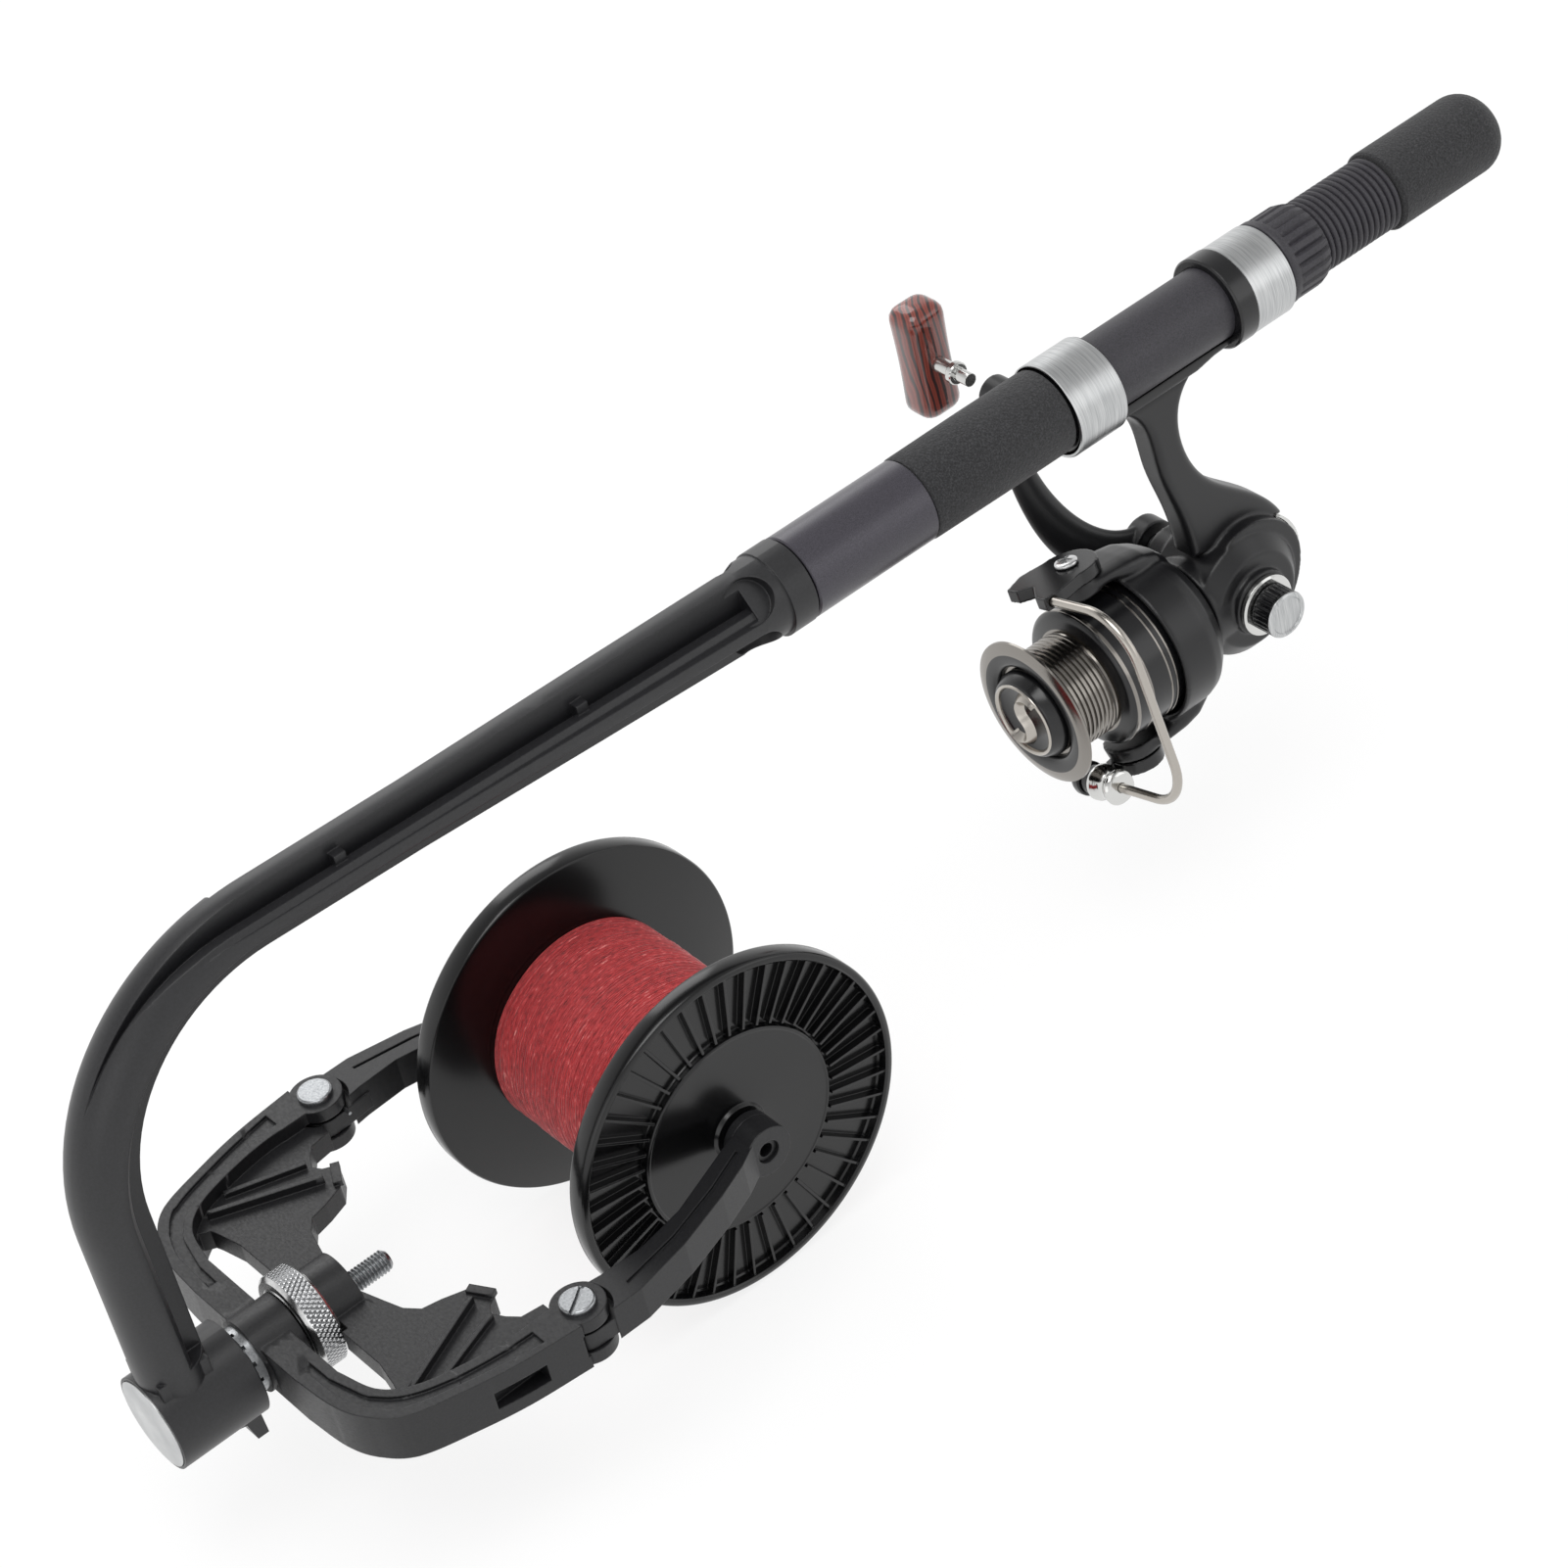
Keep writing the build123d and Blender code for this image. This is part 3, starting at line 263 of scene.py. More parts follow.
# dark chrome of the reel's arbor and rings: warm grey mirror
darkChrome, tree, surface = newMaterial("aluminiumDarkAnodisedPolished", Metallic=1.0,
                                        Roughness=0.18, Base_Color=linearHex("#8d8984"))
grainBump(tree, surface, 0.5, 0.05, 0.01)

# bright chrome on plastic and steel: clear mirror
brightChrome, tree, surface = newMaterial("chromePlatedPolished", Metallic=1.0, Roughness=0.12,
                                          Base_Color=linearHex("#d2d2d0"))
grainBump(tree, surface, 1.5, 0.05, 0.01, edge=0.2)

# stainless wire of the bail: warm grey, drawn and polished
stainlessWire, tree, surface = newMaterial("stainlessWirePolished", Metallic=1.0, Roughness=0.25,
                                           Base_Color=linearHex("#b5b0a9"))
grainBump(tree, surface, 0.4, 0.08, 0.01)

# reel castings: aluminium with black satin enamel, finer than the arm's
reelEnamel, tree, surface = newMaterial("aluminiumDieCastEnamel", Roughness=0.34, IOR=1.5,
                                        Base_Color=linearHex("#131315"))
grainBump(tree, surface, 0.35, 0.15, 0.03, edge=0.7)

# laminated beech, dyed red brown and lacquered: dark glue lines run up the knob under a clear gloss
laminatedWood, tree, surface = newMaterial("beechLaminatedLacquered", Roughness=0.35, IOR=1.5,
                                           Coat_Weight=1.0, Coat_Roughness=0.06)
place = addNode(tree, "ShaderNodeTexCoord")
turned = addNode(tree, "ShaderNodeMapping", {"Vector": place.outputs["Object"],
                                             "Rotation": (0.0, 0.12, 0.5), "Scale": (1, 1, 0.45)})
rings = addNode(tree, "ShaderNodeTexWave", {"Vector": turned.outputs["Vector"],
                                            "Scale": 1000 / 1.9 / 20 * 6.28, "Distortion": 4.5,
                                            "Detail": 2.0, "Detail Scale": 0.8},
                wave_type="BANDS", bands_direction="X")   # a glue line each 1.9 mm
fibre = addNode(tree, "ShaderNodeTexNoise", {"Vector": turned.outputs["Vector"],
                                             "Scale": perMm(0.7), "Detail": 6.0})
mixed = addNode(tree, "ShaderNodeMath", {0: rings.outputs["Fac"], 1: 0.9}, operation="MULTIPLY")
tone = addNode(tree, "ShaderNodeValToRGB", {"Fac": mixed.outputs["Value"]})
rampColours(tone, [(0.08, "#241010"), (0.26, "#5a221b"), (0.6, "#85392b"), (0.9, "#6d2a20")])
tree.links.new(tone.outputs["Color"], surface.inputs["Base Color"])
bump = addNode(tree, "ShaderNodeBump", {"Height": fibre.outputs["Fac"], "Strength": 0.08,
                                        "Distance": 0.00004})
tree.links.new(bump.outputs["Normal"], surface.inputs["Normal"])

# braided line, red polyethylene, wound tight: fine turns, with pale streaks painted into the colour
# as painted highlights
braidRed, tree, surface = newMaterial("polyethyleneBraidDyed", Roughness=0.55, IOR=1.5,
                                      Sheen_Weight=0.35, Sheen_Roughness=0.4)
uv = addNode(tree, "ShaderNodeUVMap", uv_map="line")
along = addNode(tree, "ShaderNodeMapping", {"Vector": uv.outputs["UV"], "Scale": (0.018, 2.6, 1.0)})
streak = addNode(tree, "ShaderNodeTexNoise", {"Vector": along.outputs["Vector"], "Scale": 1.0,
                                              "Detail": 5.0, "Roughness": 0.65})
weave = addNode(tree, "ShaderNodeMapping", {"Vector": uv.outputs["UV"], "Scale": (0.5, 2.2, 1.0)})
knots = addNode(tree, "ShaderNodeTexNoise", {"Vector": weave.outputs["Vector"], "Scale": 1.0,
                                             "Detail": 3.0})
both = addNode(tree, "ShaderNodeMath", {0: streak.outputs["Fac"], 1: knots.outputs["Fac"]},
               operation="MULTIPLY")
tone = addNode(tree, "ShaderNodeValToRGB", {"Fac": both.outputs["Value"]})
# the reds vary at random along the turns; the palest pink stop is a painted highlight streak
rampColours(tone, [(0.12, "#6a0e14"), (0.24, "#a52227"), (0.34, "#c03a3c"), (0.45, "#e59a95")])
tree.links.new(tone.outputs["Color"], surface.inputs["Base Color"])
bump = addNode(tree, "ShaderNodeBump", {"Height": both.outputs["Value"], "Strength": 0.4,
                                        "Distance": 0.0002})
tree.links.new(bump.outputs["Normal"], surface.inputs["Normal"])
print("materials made")

# ---- finishes of the solids that stay
nodeFinish = {
    castEnamel: ["arm_frame"],
    brushedRing: ["end_cap"],
    zincSteel: ["wave_washer", "detent_washer", "near_spring", "far_spring", "main_shaft",
                "crank_shaft"],
    nylonBlack: ["near_arm", "far_arm", "near_cone", "far_cone"],
}
for material, names in nodeFinish.items():
    for name in names:
        mesh = cadNodes[name].data
        mesh.materials.clear()
        mesh.materials.append(material)

# ---- handle tube, grips and seat
grips = {"radius": 11.3, "foreRadius": 11.7, "rearLength": 40.0}
bm = bmesh.new()
r = grips["radius"]
end = grips["rearLength"]
profile = [(0, 7.8), (0, r - 0.5), (0.5, r)]
for i in range(13):
    a = math.radians(90 - i * 7.5)
    profile.append((end - 8.2 + 8.2 * math.cos(a), r - 8.2 + 8.2 * math.sin(a)))
profile += [(end - 0.2, 0), (end - 5.5, 0), (end - 5.5, 7.8)]
spinProfile(bm, profile, (1, 0, 0), (0, 0, 0), 128)
finishPiece(bm, "rearGrip", evaFoam, "frame", ["rear_grip"])

bm = bmesh.new()
r = grips["foreRadius"]
profile = [(-162.2, 7.8), (-162.2, r - 0.6), (-161.6, r - 0.2), (-140, r), (-118.5, r),
           (-117.1, r - 0.3), (-116.8, r - 0.8), (-116.8, 7.8)]
spinProfile(bm, profile, (1, 0, 0), (0, 0, 0), 128)
finishPiece(bm, "foreGrip", evaFoam, "frame", ["fore_grip"])

sleeve = {"front": -201.0, "back": -162.5, "radius": 11.3, "core": 7.5, "end": 34.0}
bm = bmesh.new()
r = sleeve["radius"]
profile = [(sleeve["front"], 0), (sleeve["front"], r - 0.4), (sleeve["front"] + 0.4, r),
           (sleeve["back"] - 0.4, r), (sleeve["back"], r - 0.4), (sleeve["back"], sleeve["core"]),
           (sleeve["end"], sleeve["core"]), (sleeve["end"], 0)]
spinProfile(bm, profile, (1, 0, 0), (0, 0, 0), 128)
finishPiece(bm, "handleTube", sleeveLacquer, "frame", ["handle_tube"])

seat = {"front": -116.5, "ringEnd": -101.0, "thread": -27.0, "end": -0.3, "radius": 10.2,
        "rings": 13, "ringHeight": 0.9, "bore": 7.8}
bm = bmesh.new()
profile = [(seat["front"], seat["bore"]), (seat["front"], 12.1), (seat["ringEnd"], 12.1),
           (seat["ringEnd"], seat["radius"]), (seat["thread"] + 0.3, seat["radius"])]
pitch = (seat["end"] - seat["thread"] - 0.8) / seat["rings"]
for i in range(seat["rings"]):
    start = seat["thread"] + 0.4 + i * pitch
    low = seat["radius"] - seat["ringHeight"]
    profile += [(start, low), (start + pitch * 0.22, low),
                (start + pitch * 0.34, seat["radius"] - 0.15),
                (start + pitch * 0.5, seat["radius"] + 0.1),
                (start + pitch * 0.75, seat["radius"] + 0.1),
                (start + pitch * 0.92, seat["radius"] - 0.15)]
profile += [(seat["end"], seat["radius"] - 0.9), (seat["end"], seat["bore"])]
spinProfile(bm, profile, (1, 0, 0), (0, 0, 0), 128)
seatPiece = finishPiece(bm, "seatBody", glossAbs, "frame", ["seat_body"])
seatPiece.data.materials.append(ringPlastic)
for polygon in seatPiece.data.polygons:
    if polygon.center.x > seat["ringEnd"] / 1000:
        polygon.material_index = 1

for name, front, back, outer, drop, body, node in (
        ("frontRing", -116.5, -101.0, 13.1, -0.9, "frame", "front_ring"),
        ("rearRing", -55.0, -41.5, 12.7, -0.45, "hood", "rear_ring")):
    bm = bmesh.new()
    wall = outer - 0.9
    profile = [(front, wall), (front, outer - 0.35), (front + 0.35, outer), (back - 0.35, outer),
               (back, outer - 0.35), (back, wall)]
    spinProfile(bm, profile, (1, 0, 0), (0, 0, drop), 144)
    finishPiece(bm, name, brushedRing, body, [node])

hood = {"lip": -61.0, "ring": -55.0, "end": -41.5, "radius": 12.9, "sleeve": 11.7, "bore": 10.3,
        "drop": -0.45}
bm = bmesh.new()
profile = [(hood["lip"], hood["bore"]), (hood["lip"], hood["radius"] - 0.5),
           (hood["lip"] + 0.5, hood["radius"]), (hood["ring"] - 0.1, hood["radius"]),
           (hood["ring"] - 0.1, hood["sleeve"]), (hood["end"], hood["sleeve"]),
           (hood["end"], hood["bore"])]
spinProfile(bm, profile, (1, 0, 0), (0, 0, hood["drop"]), 128)
for vert in bm.verts:   # the bore stays on the barrel's axis, so the hood hangs a little lower
    if math.hypot(vert.co.y, vert.co.z - hood["drop"] / 1000) * 1000 < hood["bore"] + 0.05:
        vert.co.z -= hood["drop"] / 1000
finishPiece(bm, "movableHood", glossAbs, "hood", ["movable_hood"])

seatNut = {"start": -41.1, "end": -27.0, "radius": 12.1, "flutes": 24, "flute": 0.75}
bm = bmesh.new()
r = seatNut["radius"]
profile = [(seatNut["start"], 10.3), (seatNut["start"], r - 0.3), (seatNut["start"] + 0.3, r),
           (seatNut["start"] + 2.2, r), (seatNut["start"] + 2.6, r - 0.3)]
profile += [(seatNut["start"] + 3 + i, r - 0.25) for i in range(9)]
profile += [(seatNut["end"] - 1.0, r - 0.9), (seatNut["end"], r - 1.4), (seatNut["end"], 10.3)]
spinProfile(bm, profile, (1, 0, 0), (0, 0, 0), 24 * 8)
for vert in bm.verts:
    radius = math.hypot(vert.co.y, vert.co.z) * 1000
    if vert.co.x * 1000 > seatNut["start"] + 2.7 and radius > 10.5:
        turn = math.atan2(vert.co.z, vert.co.y) * seatNut["flutes"]
        cut = seatNut["flute"] * max(0.0, math.cos(turn)) ** 1.5
        keep = (radius - cut) / radius
        vert.co.y *= keep
        vert.co.z *= keep
finishPiece(bm, "seatNut", ringPlastic, "hood_nut", ["seat_nut"],
            smooth=50)
print("handle made")

# ---- bulk spool: two ribbed flanges on a barrel
bulk = {"flange": 48.5, "half": 35.2, "face": 31.0, "rimWall": 2.2, "ribs": 44,
        "ribThick": 1.0, "ribStart": 29.4, "disc": 28.4, "hub": 12.0, "barrel": 21.0}
bm = bmesh.new()
for side in (1, -1):
    f = bulk["face"]
    h = bulk["half"]
    R = bulk["flange"]
    inner = R - bulk["rimWall"]
    disc = bulk["disc"]
    profile = [(0, 18.8), (0, bulk["barrel"]), (f - 2.0, bulk["barrel"]), (f - 2.0, R - 0.9),
               (f - 1.7, R - 0.3), (f - 1.1, R), (h - 0.9, R), (h - 0.3, R - 0.3), (h, R - 0.8),
               (h, inner + 0.5), (h - 0.4, inner), (f + 1.7, inner - 0.3), (f + 1.3, inner - 0.7),
               (f + 1.3, disc + 0.5), (f + 1.7, disc + 0.2), (h - 1.0, disc + 0.1),
               (h - 0.75, disc - 0.2), (h - 0.75, disc - 0.6), (h - 1.0, disc - 0.9),
               (h - 1.2, bulk["hub"]), (h - 0.9, 8.0), (h, 7.4), (h, 5.5), (h - 2.3, 3.2),
               (f - 2.0, 3.2), (f - 2.0, 18.8)]
    spinProfile(bm, [(a * side, b) for a, b in profile], (0, 1, 0), places["bulkSpool"], 176)
    length = inner - bulk["ribStart"] + 0.3
    centre = Matrix.Translation(mm(*places["bulkSpool"]))
    for i in range(bulk["ribs"]):
        turn = Matrix.Rotation(2 * math.pi * i / bulk["ribs"], 4, "Y")
        rib = addBlock(bm, (length, h - f - 1.8, bulk["ribThick"]),
                       centre @ turn @ move(bulk["ribStart"] + length / 2,
                                            side * (h + f + 0.2) / 2, 0))
        for vert in rib:    # ribs are drafted: thinner at the top
            if abs(vert.co.y) * 1000 > (h + f) / 2:
                local = (centre @ turn).inverted() @ vert.co
                local.z *= 0.7
                vert.co = centre @ turn @ local
finishPiece(bm, "bulkSpool", spoolBlack, "bulk_spool", ["line_spool"])

# the wound line: fine scallops, one a turn, that wander a little and stand uneven
line = {"radius": 29.0, "half": 28.9, "turns": 92, "steps": 200, "wander": 0.5}
bm = bmesh.new()
profile = [(-line["half"], 25.0)]
pitch = 2 * line["half"] / line["turns"]
for i in range(line["turns"]):
    start = -line["half"] + i * pitch
    high = line["radius"] - 0.45 + random.uniform(-0.22, 0.22)
    profile += [(start + pitch * 0.04, high - 0.24), (start + pitch * 0.28, high),
                (start + pitch * 0.5, high + 0.07), (start + pitch * 0.72, high)]
profile += [(line["half"], line["radius"] - 0.7), (line["half"], 25.0)]
spinProfile(bm, profile, (0, 1, 0), places["bulkSpool"], line["steps"])
axis = mm(*places["bulkSpool"])
for vert in bm.verts:
    arm = vert.co - axis
    turn = math.atan2(arm.z, arm.x)
    edgeFade = 1 - (abs(arm.y) * 1000 / line["half"]) ** 6
    radius = math.hypot(arm.x, arm.z)
    swell = noise.noise(Vector((math.cos(turn) * 2, arm.y * 90, math.sin(turn) * 2)))
    slant = math.sin(turn + 0.6) * line["wander"] + 0.5 * swell
    vert.co.y += slant * edgeFade / 1000
    keep = 1 + swell * 0.006
    vert.co.x = axis.x + arm.x * keep
    vert.co.z = axis.z + arm.z * keep
uvLayer = bm.loops.layers.uv.new("line")
for face in bm.faces:
    angles = [math.atan2(loop.vert.co.z - axis.z, loop.vert.co.x - axis.x) for loop in face.loops]
    wrap = max(angles) - min(angles) > math.pi
    for loop, angle in zip(face.loops, angles):
        if wrap and angle < 0:
            angle += 2 * math.pi
        loop[uvLayer].uv = (angle * line["radius"], loop.vert.co.y * 1000)
finishPiece(bm, "woundLine", braidRed, "bulk_spool", ["line_winding", "line_core"],
            smooth=60)
print("bulk spool made")

# ---- knurled nut and threaded bolt
knurl = {"start": -387.55, "end": -379.55, "radius": 13.7, "pitch": 1.15, "bore": 3.1}
knurledSteel, tree, surface = newMaterial("steelNickelDiamondKnurl", Metallic=1.0, Roughness=0.24,
                                          Base_Color=linearHex("#c9cacb"))
uv = addNode(tree, "ShaderNodeUVMap", uv_map="knurl")
ridges = []
for angle in (35, -35):   # two sets of rolled ridges cross and leave diamonds
    turned = addNode(tree, "ShaderNodeMapping", {"Vector": uv.outputs["UV"],
                                                 "Rotation": (0, 0, math.radians(angle))})
    ridges.append(addNode(tree, "ShaderNodeTexWave", {"Vector": turned.outputs["Vector"],
                                                      "Scale": 6.283 / 20 / knurl["pitch"]},
                          wave_type="BANDS", bands_direction="X", wave_profile="SIN"))
diamonds = addNode(tree, "ShaderNodeMath", {0: ridges[0].outputs["Fac"],
                                           1: ridges[1].outputs["Fac"]}, operation="MULTIPLY")
# the grooves between the diamonds are painted darker in the colour: painted shade in the knurl,
# from the same pattern as the bump
shade = addNode(tree, "ShaderNodeValToRGB", {"Fac": diamonds.outputs["Value"]})
rampColours(shade, [(0.02, "#77787a"), (0.35, "#d4d5d6")])
bump = addNode(tree, "ShaderNodeBump", {"Height": diamonds.outputs["Value"], "Strength": 0.8,
                                        "Distance": 0.0003})
tree.links.new(shade.outputs["Color"], surface.inputs["Base Color"])
tree.links.new(bump.outputs["Normal"], surface.inputs["Normal"])
bm = bmesh.new()
r = knurl["radius"]
profile = [(knurl["start"], knurl["bore"]), (knurl["start"], r - 3.4),
           (knurl["start"] + 0.25, r - 3.0), (knurl["start"] + 0.25, r - 1.0),
           (knurl["start"] + 1.0, r - 0.1), (knurl["start"] + 1.2, r), (knurl["end"] - 1.2, r),
           (knurl["end"] - 1.0, r - 0.1), (knurl["end"] - 0.25, r - 1.0),
           (knurl["end"] - 0.25, r - 3.0), (knurl["end"], r - 3.4), (knurl["end"], knurl["bore"])]
spinProfile(bm, profile, (1, 0, 0), (0, 0, places["boss"][2]), 128)
uvLayer = bm.loops.layers.uv.new("knurl")
for face in bm.faces:
    rim = all(math.hypot(v.co.y * 1000, v.co.z * 1000 - places["boss"][2]) > r - 0.05
              for v in face.verts)
    face.material_index = 1 if rim else 0
    angles = [math.atan2(loop.vert.co.z * 1000 - places["boss"][2], loop.vert.co.y * 1000)
              for loop in face.loops]
    wrap = max(angles) - min(angles) > math.pi
    for loop, angle in zip(face.loops, angles):
        loop[uvLayer].uv = ((angle + 2 * math.pi if wrap and angle < 0 else angle) * r,
                            loop.vert.co.x * 1000)
piece = finishPiece(bm, "knurledNut", nickelSteel, "swivel_nut", ["lock_nut"],
                    smooth=25)
piece.data.materials.append(knurledSteel)

bolt = {"head": -426.0, "headLength": 4.0, "headRadius": 5.5, "end": -357.7, "radius": 2.98,
        "pitch": 1.0, "depth": 0.55, "threadFrom": -372.0}
bm = bmesh.new()
start = bolt["threadFrom"]
rows = int((bolt["end"] - 0.9 - start) / bolt["pitch"] * 10)
profile = [(bolt["head"], 0), (bolt["head"], bolt["headRadius"]),
           (bolt["head"] + bolt["headLength"], bolt["headRadius"]),
           (bolt["head"] + bolt["headLength"], bolt["radius"])]
profile += [(start + bolt["pitch"] * i / 10, bolt["radius"]) for i in range(rows)]
profile += [(bolt["end"] - 0.7, bolt["radius"] - 0.3), (bolt["end"], bolt["radius"] - 0.9),
            (bolt["end"], 0)]
spinProfile(bm, profile, (1, 0, 0), (0, 0, places["boss"][2]), 48)
for vert in bm.verts:
    z = vert.co.z * 1000 - places["boss"][2]
    y = vert.co.y * 1000
    x = vert.co.x * 1000
    radius = math.hypot(y, z)
    if start < x < bolt["end"] - 0.75 and radius > 2.5:
        wave = abs(((x / bolt["pitch"] - math.atan2(z, y) / (2 * math.pi)) % 1) - 0.5) * 2
        keep = (bolt["radius"] - bolt["depth"] * (1 - min(1, wave * 1.25))) / radius
        vert.co.y = y * keep / 1000
        vert.co.z = (z * keep + places["boss"][2]) / 1000
finishPiece(bm, "clampBolt", zincSteel, "frame", ["clamp_bolt"], smooth=50)
print("nut and bolt made")

# ---- bracket: the solid, its cornered outlines drawn out to smooth sweeps
bracket = {"face": -399.9, "centre": (30.0, 33.0), "step": 3, "fade": 6.0,
           "outer": [(0.8, 22), (2.0, 36), (5.2, 45), (12.0, 52.4), (26, 57), (40, 60.2),
                     (57, 62.2)],
           "inner": [(9.3, 28), (12.2, 39.5), (18.4, 45.6), (28.5, 49.2), (42, 51.6), (57, 51.5)]}


def sweepPoints(corners, count):
    # a smooth line through the corners, as Bezier spans with shared tangents
    spots = [Vector((*c, 0)) for c in corners]
    spots = [spots[0] * 2 - spots[1]] + spots + [spots[-1] * 2 - spots[-2]]
    line = []
    for a, b, c, d in zip(spots, spots[1:], spots[2:], spots[3:]):
        line += geometry.interpolate_bezier(b, b + (c - a) / 6, c - (d - b) / 6, c, count)[:-1]
    return line + [spots[-2]]


def reachAt(line, angle):
    # distance from the centre to the line in that direction, or None beside its ends
    centre = Vector((*bracket["centre"], 0))
    away = centre + Vector((math.cos(angle), math.sin(angle), 0)) * 200
    for a, b in zip(line, line[1:]):
        hit = geometry.intersect_line_line_2d(centre.xy, away.xy, a.xy, b.xy)
        if hit:
            return (hit - centre.xy).length
    return None


lines = {}
for edge in ("outer", "inner"):
    corners = [Vector((*c, 0)) for c in bracket[edge]]
    swept = sweepPoints(bracket[edge], 12)
    for degree in range(30, 211):
        plain = reachAt(corners, math.radians(degree))
        smooth = reachAt(swept, math.radians(degree))
        lines[edge, degree] = (plain, smooth - plain) if plain and smooth else (None, 0.0)


def drawOut(edge, degrees):
    low = min(max(int(degrees), 30), 209)
    part = degrees - low
    a, b = lines[edge, low], lines[edge, low + 1]
    if a[0] is None or b[0] is None:
        return None, 0.0
    return a[0] + (b[0] - a[0]) * part, a[1] + (b[1] - a[1]) * part


bm = bmesh.new()
bm.from_mesh(cadNodes["bracket"].data)
bmesh.ops.remove_doubles(bm, verts=bm.verts, dist=1e-6)
cx, cy = bracket["centre"]
for side in (1, -1):
    for degree in range(36, 204, bracket["step"]):
        a = math.radians(degree)
        bmesh.ops.bisect_plane(bm, geom=bm.verts[:] + bm.edges[:] + bm.faces[:], dist=1e-7,
                               plane_co=mm(bracket["face"] + cx, side * cy, 0),
                               plane_no=(-math.sin(a), side * math.cos(a), 0))
for vert in bm.verts:
    side = math.copysign(1, vert.co.y)
    x = vert.co.x * 1000 - bracket["face"] - cx
    y = vert.co.y * 1000 * side - cy
    radius = math.hypot(x, y)
    degrees = math.degrees(math.atan2(y, x)) % 360
    if radius < 5 or not 30 < degrees < 210:
        continue
    outer, outerGain = drawOut("outer", degrees)
    inner, innerGain = drawOut("inner", degrees)
    if outer is None:
        continue
    if inner is None:
        inner, innerGain = outer - 9, 0.0
    share = (radius - inner) / (outer - inner)
    if share < 0:
        gain = innerGain * max(0.0, 1 - (inner - radius) / bracket["fade"])
    else:
        gain = innerGain + (outerGain - innerGain) * min(1.0, share)
    keep = (radius + gain) / radius
    vert.co.x = (bracket["face"] + cx + x * keep) / 1000
    vert.co.y = side * (cy + y * keep) / 1000
finishPiece(bm, "swivelBracket", nylonBlack, "swivel_bracket", ["bracket"],
            smooth=28)
print("bracket made")

# ---- cast and moulded pieces: the solids' own shapes with every edge melted to a real radius
# voxel is the melt's grain in millimetres, rounds how far the edges relax
castings = [
    {"node": "reel_body", "name": "reelBody", "material": reelEnamel, "body": "frame",
     "slot": "reel_black", "voxel": 0.4, "rounds": 6},
    {"node": "bail_arm", "name": "bailArm", "material": glossAbs, "body": "bail",
     "slot": "bail_black", "voxel": 0.25, "rounds": 5},
    {"node": "roller_arm", "name": "rollerArm", "material": glossAbs, "body": "bail",
     "slot": "bail_black", "voxel": 0.25, "rounds": 5},
    {"node": "crank_arm", "name": "crankArm", "material": reelEnamel, "body": "crank",
     "slot": "reel_black", "voxel": 0.3, "rounds": 4},
    {"node": "rear_plate", "name": "rearPlate", "material": brightChrome, "body": "frame",
     "slot": "reel_bright", "voxel": 0.2, "rounds": 3},
]
for casting in castings:
    bm = bmesh.new()
    bm.from_mesh(cadNodes[casting["node"]].data)
    bmesh.ops.remove_doubles(bm, verts=bm.verts, dist=1e-6)
    piece = finishPiece(bm, casting["name"], casting["material"], casting["body"],
                        [casting["node"]])
    meltEdges(piece, casting["voxel"], casting["rounds"])
print("castings made")

# ---- reel's spool, in its own frame: x from the front ring, turned about the reel's axis
reelSpool = {"ribs": 9, "arbor": 14.3, "rib": 0.55, "front": -20.3, "arborEnd": -5.3,
             "skirt": 20.0, "skirtEnd": 14.7,
             "bands": [(-3.6, -2.4), (1.6, 2.8), (8.6, 9.2), (10.6, 11.2)]}
rx, ry, rz = places["reel"]
bm = bmesh.new()
profile = [(reelSpool["front"], 2.1), (reelSpool["front"], 15.2), (reelSpool["front"] + 0.6, 15.2),
           (reelSpool["front"] + 0.9, reelSpool["arbor"])]
pitch = (reelSpool["arborEnd"] - reelSpool["front"] - 1.6) / reelSpool["ribs"]
for i in range(reelSpool["ribs"]):
    start = reelSpool["front"] + 1.1 + i * pitch
    profile += [(start, reelSpool["arbor"]),
                (start + pitch * 0.25, reelSpool["arbor"] + reelSpool["rib"]),
                (start + pitch * 0.6, reelSpool["arbor"] + reelSpool["rib"]),
                (start + pitch * 0.85, reelSpool["arbor"])]
s = reelSpool["skirt"]
profile += [(reelSpool["arborEnd"] - 0.2, reelSpool["arbor"] + 0.2), (reelSpool["arborEnd"], 15.4),
            (reelSpool["arborEnd"] + 0.2, s - 1.6), (reelSpool["arborEnd"] + 0.8, s - 0.6),
            (-3.9, s - 0.1)]
for start, end in reelSpool["bands"]:
    profile += [(start, s - 0.1), (start + 0.15, s + 0.05), (end - 0.15, s + 0.05), (end, s - 0.1)]
profile += [(reelSpool["skirtEnd"] - 0.5, s - 0.1), (reelSpool["skirtEnd"], s - 0.6),
            (reelSpool["skirtEnd"], s - 1.8), (-2.3, s - 1.8), (-2.3, 2.1)]
spinProfile(bm, [(a + rx, b) for a, b in profile], (1, 0, 0), (0, ry, rz), 144)
piece = finishPiece(bm, "reelSpool", darkChrome, "spool_group", ["reel_spool"],
                    smooth=28)
piece.data.materials.append(glossAbs)
for polygon in piece.data.polygons:
    x = polygon.center.x * 1000 - rx
    radius = math.hypot(polygon.center.y * 1000, polygon.center.z * 1000 - rz)
    inBand = any(start <= x <= end for start, end in reelSpool["bands"])
    if x > reelSpool["arborEnd"] + 0.05 and not inBand and radius > 15.4:
        polygon.material_index = 1

